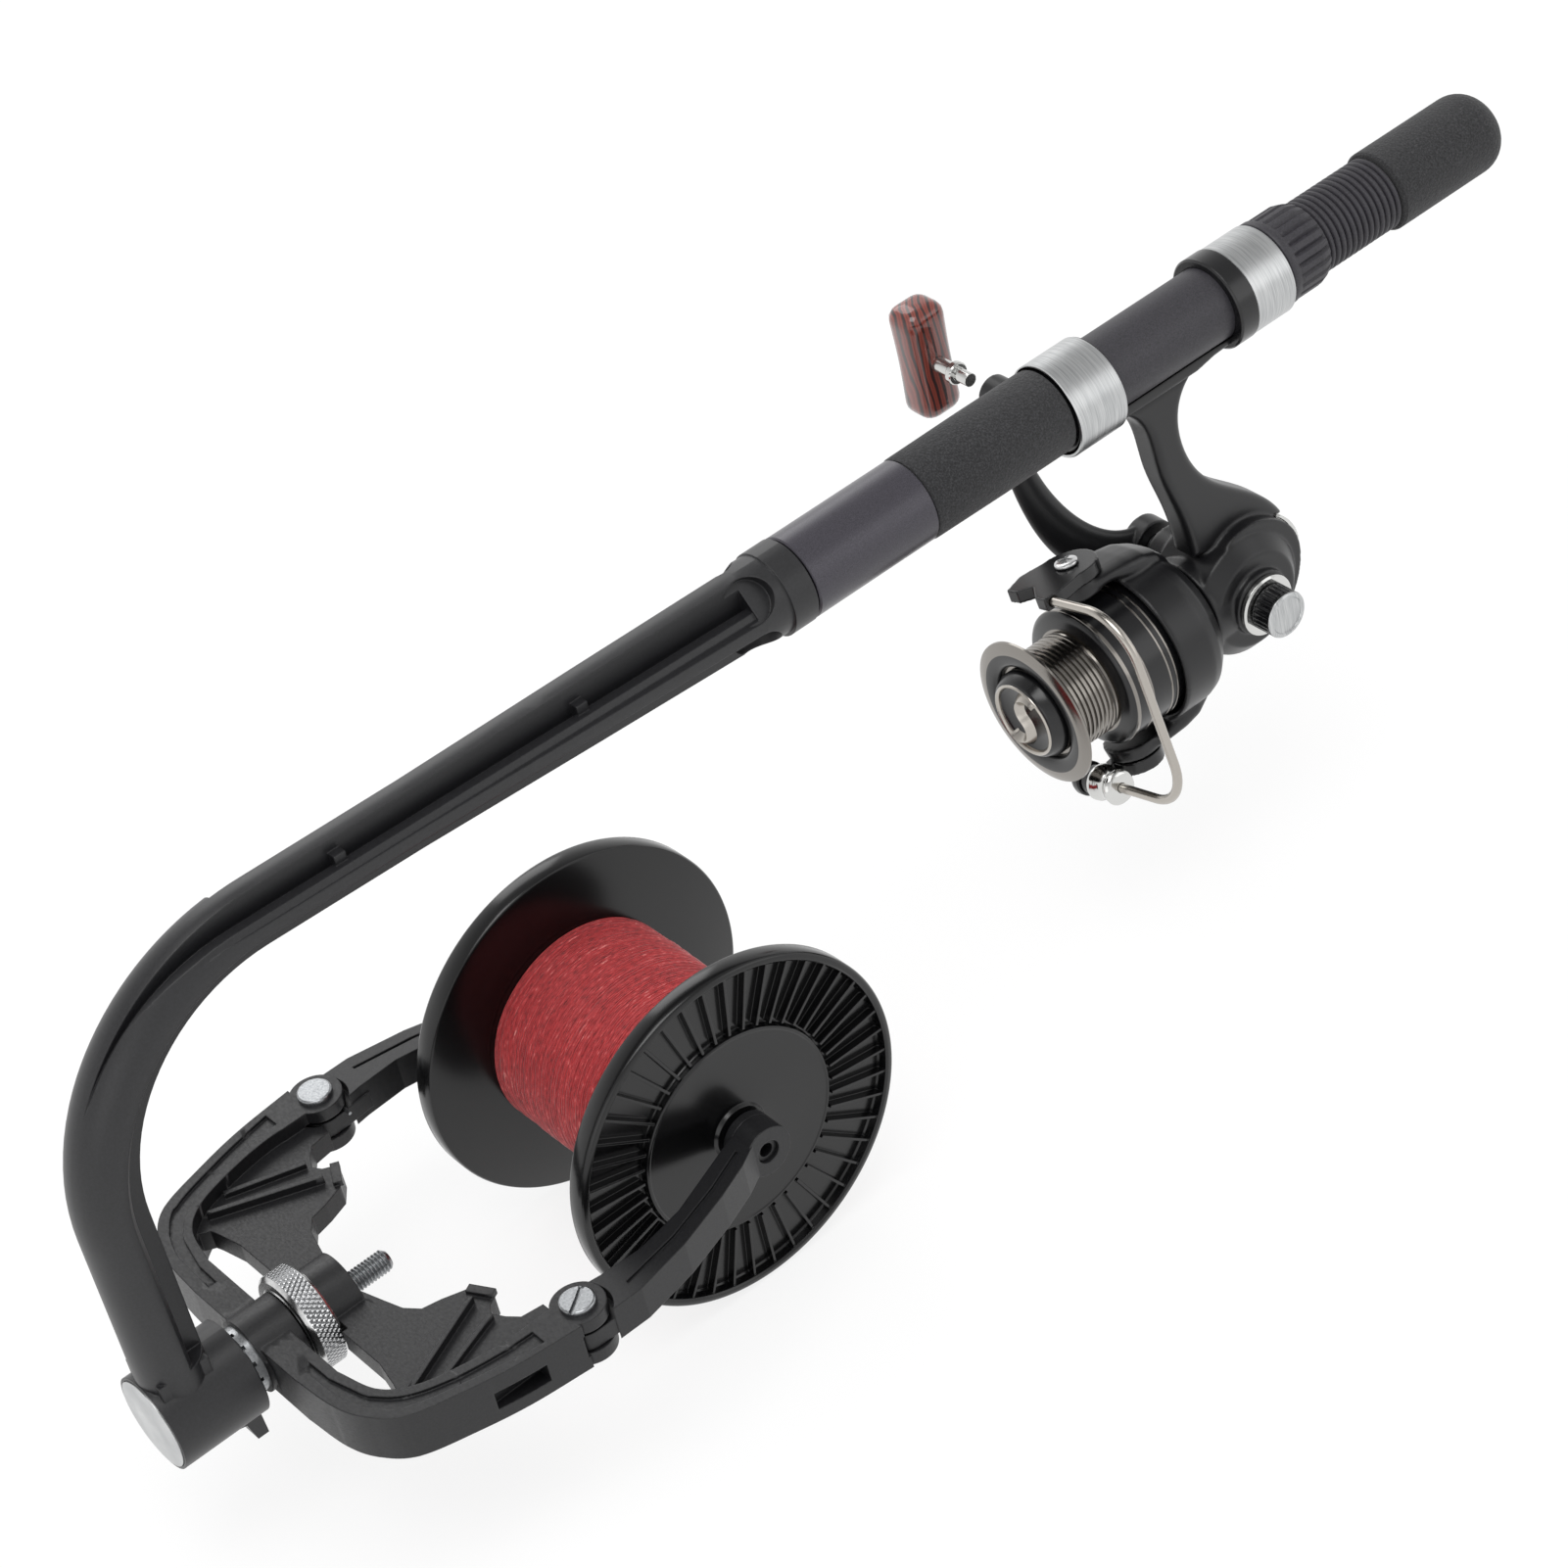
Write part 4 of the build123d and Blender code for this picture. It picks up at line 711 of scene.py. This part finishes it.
bm = bmesh.new()
profile = [(-20.5, 13.4), (-20.5, 20.4), (-21.0, 21.0), (-21.6, 20.9), (-22.3, 19.2), (-22.5, 17.6),
           (-22.5, 15.2), (-22.2, 14.4), (-21.6, 13.8)]
spinProfile(bm, [(a + rx, b) for a, b in profile], (1, 0, 0), (0, ry, rz), 144)
piece = finishPiece(bm, "spoolLip", darkChrome, "spool_group", ["spool_lip"])
piece.data.materials.append(glossAbs)
for polygon in piece.data.polygons:   # the cone inside the bright lip is black
    if math.hypot(polygon.center.y * 1000, polygon.center.z * 1000 - rz) < 17.5:
        polygon.material_index = 1

# drag knob: black cup with a bright ring and a bright ridge that winds across its face
drag = {"face": -24.4, "ridgeTop": -26.6, "turn": 40.0}
bm = bmesh.new()
profile = [(-20.9, 0), (-20.9, 12.6), (-22.2, 12.6), (-22.9, 12.3), (-24.9, 11.4), (-25.4, 11.0),
           (-25.5, 10.6), (-25.2, 10.3), (-24.6, 9.0), (drag["face"], 8.6), (drag["face"], 0)]
spinProfile(bm, [(a + rx, b) for a, b in profile], (1, 0, 0), (0, ry, rz), 96, closed=False)
dark = len(bm.faces)
profile = [(-25.3, 10.7), (-25.8, 10.5), (-26.0, 10.2), (-25.8, 9.8), (-25.2, 9.5), (-24.3, 9.4),
           (-24.2, 10.4)]
spinProfile(bm, [(a + rx, b) for a, b in profile], (1, 0, 0), (0, ry, rz), 96)
tilt = Matrix.Rotation(math.radians(drag["turn"]), 4, "X")
place = Matrix.Translation(mm(rx, ry, rz)) @ tilt
section = [(drag["face"] + 0.2, -1.7), (-25.2, -1.0), (-26.1, -0.45), (drag["ridgeTop"], 0),
           (-26.1, 0.45), (-25.2, 1.0), (drag["face"] + 0.2, 1.7)]
for centre, start, sweep in ((4.4, 8.8, -180), (-4.4, 0.0, 180)):
    points = [bm.verts.new(place @ mm(x, 0, start + w)) for x, w in section]
    edges = [bm.edges.new(pair) for pair in zip(points, points[1:])]
    bmesh.ops.spin(bm, geom=points + edges, cent=place @ mm(0, 0, centre),
                   axis=tilt @ Vector((1, 0, 0)), angle=math.radians(sweep), steps=32)
bm.faces.ensure_lookup_table()
for face in bm.faces[dark:]:
    face.material_index = 1
piece = finishPiece(bm, "dragKnob", glossAbs, "drag", ["drag_knob"],
                    smooth=40)
piece.data.materials.append(stainlessWire)

# side cap: ribbed black edge and a bright turned face in a chrome ring
sideCap = {"radius": 6.6, "ribs": 26, "rib": 0.35, "axisX": 46.5}
bm = bmesh.new()
cx = rx + sideCap["axisX"]
profile = [(-15.5, 3.6), (-15.5, 8.2), (-16.0, 8.6), (-17.0, 8.6), (-17.5, 8.1), (-17.5, 3.6)]
spinProfile(bm, profile, (0, 1, 0), (cx, 0, rz), 96)
finishPiece(bm, "capRing", brightChrome, "frame", ["cap_ring"])
bm = bmesh.new()
r = sideCap["radius"]
profile = [(-17.7, 4.1), (-17.7, r - 0.2), (-18.1, r)]
profile += [(-18.2 - 0.6 * i, r) for i in range(10)]
profile += [(-23.9, r - 0.1), (-24.3, r - 0.5), (-24.5, r - 0.9), (-24.5, r - 1.3),
            (-24.1, r - 1.6), (-24.2, 3.0), (-24.3, 1.2), (-24.3, 0), (-21.1, 0), (-21.1, 4.1)]
spinProfile(bm, profile, (0, 1, 0), (cx, 0, rz), sideCap["ribs"] * 6, closed=False)
bm.faces.ensure_lookup_table()
for face in bm.faces:
    spot = face.calc_center_median()
    radius = math.hypot(spot.x * 1000 - cx, spot.z * 1000 - rz)
    face.material_index = 1 if spot.y * 1000 < -23.5 and radius < r - 0.3 else 0
for vert in bm.verts:
    x = vert.co.x * 1000 - cx
    z = vert.co.z * 1000 - rz
    radius = math.hypot(x, z)
    if radius > r - 0.05 and -23.6 < vert.co.y * 1000 < -18.2:
        wave = 0.5 + 0.5 * math.cos(math.atan2(z, x) * sideCap["ribs"])
        keep = (radius - sideCap["rib"] * wave) / radius
        vert.co.x = (cx + x * keep) / 1000
        vert.co.z = (rz + z * keep) / 1000
piece = finishPiece(bm, "sideCap", glossAbs, "frame", ["side_cap"],
                    smooth=50)
piece.data.materials.append(brushedRing)
print("reel spool and caps made")

# ---- rotor: its cup and two arms melted into one casting
rotor = {"pivot": 3.0, "voxel": 0.42, "rounds": 9}
rotorPlace = (Matrix.Translation(mm(rx, ry, rz))
              @ Matrix.Rotation(math.radians(-places["rotorTilt"]), 4, "X"))
bm = bmesh.new()
profile = [(12.0, 20.9), (12.0, 22.5), (22.0, 22.5), (25.0, 21.6), (28.5, 18.6), (31.0, 14.0),
           (31.0, 2.1), (28.5, 2.1), (28.5, 13.5), (23.4, 20.9)]
spinProfile(bm, profile, (1, 0, 0), (0, 0, 0), 96)
for flip in (0, 180):
    turn = Matrix.Rotation(math.radians(flip), 4, "X")
    ear = bmesh.ops.create_cone(bm, cap_ends=True, segments=40, radius1=0.0078, radius2=0.0070,
                                depth=0.0041)
    bmesh.ops.transform(bm, matrix=turn @ move(rotor["pivot"], 0, 24.45), verts=ear["verts"])
    # the arm leaves the ear flat, widens, and folds down over the cup's shoulder
    route = ((3.0, 15.0, 22.4, 26.5), (10.0, 16.4, 22.2, 26.5), (16.0, 17.4, 19.5, 26.4),
             (21.0, 17.0, 18.0, 25.6), (25.5, 15.0, 16.5, 23.4), (29.0, 11.0, 13.5, 19.5))
    loops = []
    for x, wide, low, high in route:
        ring = []
        for i in range(24):
            a = 2 * math.pi * i / 24
            c, d = math.cos(a), math.sin(a)
            y = wide / 2 * math.copysign(abs(c) ** 0.6, c)
            z = (low + high) / 2 + (high - low) / 2 * math.copysign(abs(d) ** 0.7, d)
            ring.append(bm.verts.new(turn @ mm(x, y, z)))
        loops.append([bm.edges.new((ring[i], ring[(i + 1) % 24])) for i in range(24)])
    for before, after in zip(loops, loops[1:]):
        bmesh.ops.bridge_loops(bm, edges=before + after)
    for loop in (loops[0], loops[-1]):
        bmesh.ops.contextual_create(bm, geom=loop)
bmesh.ops.transform(bm, matrix=rotorPlace, verts=bm.verts)
piece = finishPiece(bm, "reelRotor", reelEnamel, "reel_rotor", ["rotor"])
meltEdges(piece, rotor["voxel"], rotor["rounds"])

# bail wire: one bent stainless rod
bailWire = {"x": -10.0, "reach": 37.0, "side": 28.6, "bend": 14.0, "radius": 1.3, "near": -7.0,
            "far": 4.1}
curve = bpy.data.curves.new("bailWire", "CURVE")
curve.dimensions = "3D"
curve.bevel_depth = bailWire["radius"] / 1000
curve.bevel_resolution = 6
curve.resolution_u = 20
curve.use_fill_caps = True
b = bailWire
k = b["bend"] * 0.5523
route = [((b["near"], b["side"]), (0, 0), (-1, 0)),
         ((-b["reach"] + b["bend"], b["side"]), (1, 0), (-k, 0)),
         ((-b["reach"], b["side"] - b["bend"]), (0, k), (0, -1)),
         ((-b["reach"], b["bend"] - b["side"]), (0, 1), (0, -k)),
         ((-b["reach"] + b["bend"], -b["side"]), (-k, 0), (1, 0)),
         ((b["far"], -b["side"]), (-1, 0), (0, 0))]
spline = curve.splines.new("BEZIER")
spline.bezier_points.add(len(route) - 1)
for point, ((y, z), before, after) in zip(spline.bezier_points, route):
    point.handle_left_type = point.handle_right_type = "FREE"
    point.co = rotorPlace @ mm(b["x"], y, z)
    point.handle_left = rotorPlace @ mm(b["x"], y + before[0], z + before[1])
    point.handle_right = rotorPlace @ mm(b["x"], y + after[0], z + after[1])
piece = bpy.data.objects.new("bailWire", curve)
bpy.context.scene.collection.objects.link(piece)
curve.materials.append(stainlessWire)
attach(piece, "bail")
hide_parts("bail_wire")

# line roller and its black end
roller = {"x": -10.0, "z": -28.6, "start": -8.6}
bm = bmesh.new()
profile = [(0, 1.4), (0, 3.6), (0.4, 4.4), (1.2, 4.9), (2.0, 4.7), (2.8, 4.0), (4.0, 3.6),
           (5.6, 3.7), (6.6, 4.2), (7.6, 4.9), (8.6, 5.0), (9.2, 4.6), (9.4, 4.0), (9.4, 1.4)]
spinProfile(bm, [(a + roller["start"], r) for a, r in profile], (0, 1, 0),
            (roller["x"], 0, roller["z"]), 72)
bmesh.ops.transform(bm, matrix=rotorPlace, verts=bm.verts)
finishPiece(bm, "lineRoller", brightChrome, "guide_roller", ["line_roller"],
            smooth=45)
bm = bmesh.new()
profile = [(4.2, 0), (4.2, 4.4), (4.6, 4.7), (6.4, 4.7), (7.6, 4.2), (8.4, 3.0),
           (8.7, 1.4), (8.7, 0)]
spinProfile(bm, profile, (0, 1, 0), (roller["x"], 0, roller["z"]), 48, closed=False)
bmesh.ops.transform(bm, matrix=rotorPlace, verts=bm.verts)
finishPiece(bm, "rollerCap", glossAbs, "bail", ["roller_cap"])

# two bail screws with cross recesses, dense enough on top to press the cross in
screws = {"x": 3.0, "cross": 0.42, "depth": 0.9}
bm = bmesh.new()
for flip in (0, 180):
    part = bmesh.new()
    profile = [(23.1, 0), (23.1, 1.5), (30.8, 1.5), (30.8, 3.2), (31.3, 3.2)]
    profile += [(31.3 + 0.8 * math.cos(math.asin(min(1, r / 3.2))), r)
                for r in [3.1 - 0.1 * i for i in range(31)]]
    profile.append((32.1, 0))
    spinProfile(part, profile, (0, 0, 1), (0, 0, 0), 72, closed=False)
    for vert in part.verts:
        x = vert.co.x * 1000
        y = vert.co.y * 1000
        inCross = math.hypot(x, y) < 2.1 and min(abs(x), abs(y)) < screws["cross"]
        if vert.co.z * 1000 > 31.2 and inCross:
            vert.co.z -= screws["depth"] / 1000
    bmesh.ops.transform(part, matrix=rotorPlace @ Matrix.Rotation(math.radians(flip), 4, "X")
                        @ move(screws["x"], 0, 0) @ Matrix.Rotation(0.5, 4, "Z"), verts=part.verts)
    shell = bpy.data.meshes.new("screwPart")
    part.to_mesh(shell)
    part.free()
    bm.from_mesh(shell)
    bpy.data.meshes.remove(shell)
finishPiece(bm, "bailScrews", nickelSteel, "reel_rotor", ["bail_screws"],
            smooth=40)
print("rotor and bail made")

# ---- wooden knob, upright on its shaft, a little waisted
knob = {"x": -96.5, "y": 77.0, "z": -27.0, "wide": 13.4, "deep": 12.4, "tall": 33.8, "waist": 0.05}
bm = bmesh.new()
bmesh.ops.create_cube(bm, size=1.0)
bmesh.ops.transform(bm, matrix=Matrix.Diagonal((knob["wide"] / 1000, knob["deep"] / 1000,
                                                knob["tall"] / 1000, 1.0)), verts=bm.verts)
upright = [e for e in bm.edges if abs((e.verts[0].co - e.verts[1].co).z) > 0.01]
bmesh.ops.bevel(bm, geom=upright, offset=0.0042, offset_type="OFFSET", segments=4, profile=0.5,
                affect="EDGES", material=-1)
rims = [e for e in bm.edges if abs(e.verts[0].co.z - e.verts[1].co.z) < 1e-6]
bmesh.ops.bevel(bm, geom=rims, offset=0.0038, offset_type="OFFSET", segments=4, profile=0.5,
                affect="EDGES", material=-1)
for cut in range(1, 12):
    bmesh.ops.bisect_plane(bm, geom=bm.verts[:] + bm.edges[:] + bm.faces[:], dist=1e-7,
                           plane_co=(0, 0, (cut / 12 - 0.5) * (knob["tall"] - 6) / 1000),
                           plane_no=(0, 0, 1))
for vert in bm.verts:
    z = vert.co.z * 2000 / knob["tall"]
    fat = 1 - knob["waist"] * (1 - z * z) ** 2
    vert.co.x *= fat
    vert.co.y *= fat
bmesh.ops.translate(bm, verts=bm.verts, vec=mm(knob["x"], knob["y"], knob["z"]))
finishPiece(bm, "crankKnob", laminatedWood, "crank_handle", ["crank_knob"],
            smooth=60)

bm = bmesh.new()
profile = [(58.2, 0), (58.2, 1.9), (63.0, 1.9), (63.0, 2.9), (63.4, 3.2), (64.8, 3.2),
           (65.3, 2.8), (65.6, 2.1), (69.0, 2.1), (70.0, 2.3), (71.4, 2.3), (72.0, 2.0),
           (86.0, 2.0), (86.0, 0)]
spinProfile(bm, profile, (0, 1, 0), (knob["x"], 0, knob["z"]), 56, closed=False)
finishPiece(bm, "knobShaft", brightChrome, "crank", ["knob_shaft"])

# ---- arm pins: the near head is slotted, the far one plain
pins = {"x": -338.9, "y": 55.5, "z": -110.5, "slot": 0.55, "slotDepth": 0.8}
bm = bmesh.new()
for side in (-1, 1):
    part = bmesh.new()
    profile = [(-7.0, 0), (-7.0, 2.5), (7.02, 2.5), (7.02, 4.6), (7.9, 4.6), (8.2, 4.45),
               (8.4, 4.1)]
    profile += [(8.4, 4.0 - 0.1 * i) for i in range(40)]
    profile.append((8.4, 0))
    spinProfile(part, profile, (0, 0, 1), (0, 0, 0), 96, closed=False)
    if side < 0:
        for vert in part.verts:
            if vert.co.z * 1000 > 8.1 and abs(vert.co.y) * 1000 < pins["slot"]:
                vert.co.z -= pins["slotDepth"] / 1000
    bmesh.ops.transform(part, matrix=move(pins["x"], side * pins["y"], pins["z"])
                        @ Matrix.Rotation(0.62, 4, "Z"), verts=part.verts)
    shell = bpy.data.meshes.new("pinPart")
    part.to_mesh(shell)
    part.free()
    bm.from_mesh(shell)
    bpy.data.meshes.remove(shell)
finishPiece(bm, "armPins", zincSteel, "swivel_bracket", ["arm_pins"],
            smooth=40)
print("knob and pins made")

# ---- floor, lights and camera
studio = {"floor": -0.1595, "key": 9.0, "fill": 1.5, "rim": 3.0, "front": 0.6, "side": 0.15,
          "top": 1.2}
floorMaterial, tree, surface = newMaterial("paperSweepMatt", Roughness=0.9,
                                           Base_Color=linearHex("#f4f4f4"))
rays = addNode(tree, "ShaderNodeLightPath")
glow = addNode(tree, "ShaderNodeEmission", {"Color": (1, 1, 1, 1), "Strength": 1.0})
mirrored = addNode(tree, "ShaderNodeMath", {0: rays.outputs["Is Glossy Ray"],
                                           1: rays.outputs["Is Transmission Ray"]}, operation="ADD")
direct = addNode(tree, "ShaderNodeMath", {0: rays.outputs["Is Camera Ray"],
                                         1: mirrored.outputs["Value"]}, operation="ADD")
seen = addNode(tree, "ShaderNodeMath", {0: direct.outputs["Value"], 1: 0.82}, operation="MULTIPLY")
mixed = addNode(tree, "ShaderNodeMixShader", {0: seen.outputs["Value"], 1: surface.outputs["BSDF"],
                                              2: glow.outputs["Emission"]})
tree.links.new(mixed.outputs["Shader"], tree.nodes["Material Output"].inputs["Surface"])
bm = bmesh.new()
bmesh.ops.create_grid(bm, x_segments=1, y_segments=1, size=6.0)
bmesh.ops.translate(bm, verts=bm.verts, vec=(0, 0, studio["floor"]))
mesh = bpy.data.meshes.new("floor")
bm.to_mesh(mesh)
bm.free()
floor = bpy.data.objects.new("floor", mesh)
bpy.context.scene.collection.objects.link(floor)
mesh.materials.append(floorMaterial)

world = bpy.data.worlds.new("studioWorld")
world.use_nodes = True
bpy.context.scene.world = world
tree = world.node_tree
sky = tree.nodes["Background"]
rays = addNode(tree, "ShaderNodeLightPath")
aim = addNode(tree, "ShaderNodeTexCoord")
high = addNode(tree, "ShaderNodeSeparateXYZ", {"Vector": aim.outputs["Generated"]})
room = addNode(tree, "ShaderNodeMapRange", {"Value": high.outputs["Z"], "From Min": 0.1,
                                            "From Max": 0.9, "To Min": studio["side"],
                                            "To Max": studio["top"]})   # dark walls, pale ceiling
mirrored = addNode(tree, "ShaderNodeMath", {0: rays.outputs["Is Glossy Ray"],
                                           1: rays.outputs["Is Transmission Ray"]}, operation="ADD")
mirror = addNode(tree, "ShaderNodeMapRange", {"Value": high.outputs["Z"], "From Min": 0.2,
                                              "From Max": 0.9, "To Min": 1.0, "To Max": 0.4})
indirect = addNode(tree, "ShaderNodeMix", {0: mirrored.outputs["Value"], 2: room.outputs["Result"],
                                           3: mirror.outputs["Result"]})
level = addNode(tree, "ShaderNodeMix", {0: rays.outputs["Is Camera Ray"], 2: indirect.outputs[0],
                                        3: 1.0})
sky.inputs["Color"].default_value = (1, 1, 1, 1)
tree.links.new(level.outputs[0], sky.inputs["Strength"])

lamps = {
    "keyLight": ((-0.55, -0.25, 1.25), (-0.2, 0.0, -0.05), 0.9, studio["key"]),
    "fillLight": ((0.7, -0.9, 0.5), (-0.15, 0.0, -0.05), 0.8, studio["fill"]),
    "rimLight": ((0.1, 1.1, 0.7), (-0.2, 0.0, -0.05), 0.7, studio["rim"]),
    "frontLight": ((-1.1, -0.6, 0.25), (-0.3, 0.0, -0.08), 0.6, studio["front"]),
}
for name, (spot, aim, size, power) in lamps.items():
    lamp = bpy.data.lights.new(name, "AREA")
    lamp.shape = "SQUARE"
    lamp.size = size
    lamp.energy = power
    holder = bpy.data.objects.new(name, lamp)
    bpy.context.scene.collection.objects.link(holder)
    holder.location = spot
    holder.rotation_euler = (Vector(aim) - Vector(spot)).to_track_quat("-Z", "Y").to_euler()

view = {"place": (-0.66430, -0.74820, 0.64283), "turn": (0.881498, 0.188283, -0.692251),
        "lens": 103.44, "sensor": 36.0}
lens = bpy.data.cameras.new("photoCamera")
lens.lens = view["lens"]
lens.sensor_width = view["sensor"]
lens.clip_end = 50
camera = bpy.data.objects.new("photoCamera", lens)
bpy.context.scene.collection.objects.link(camera)
camera.location = view["place"]
camera.rotation_euler = view["turn"]
bpy.context.scene.camera = camera
bpy.context.scene.view_settings.view_transform = "Standard"

print("scene ready")
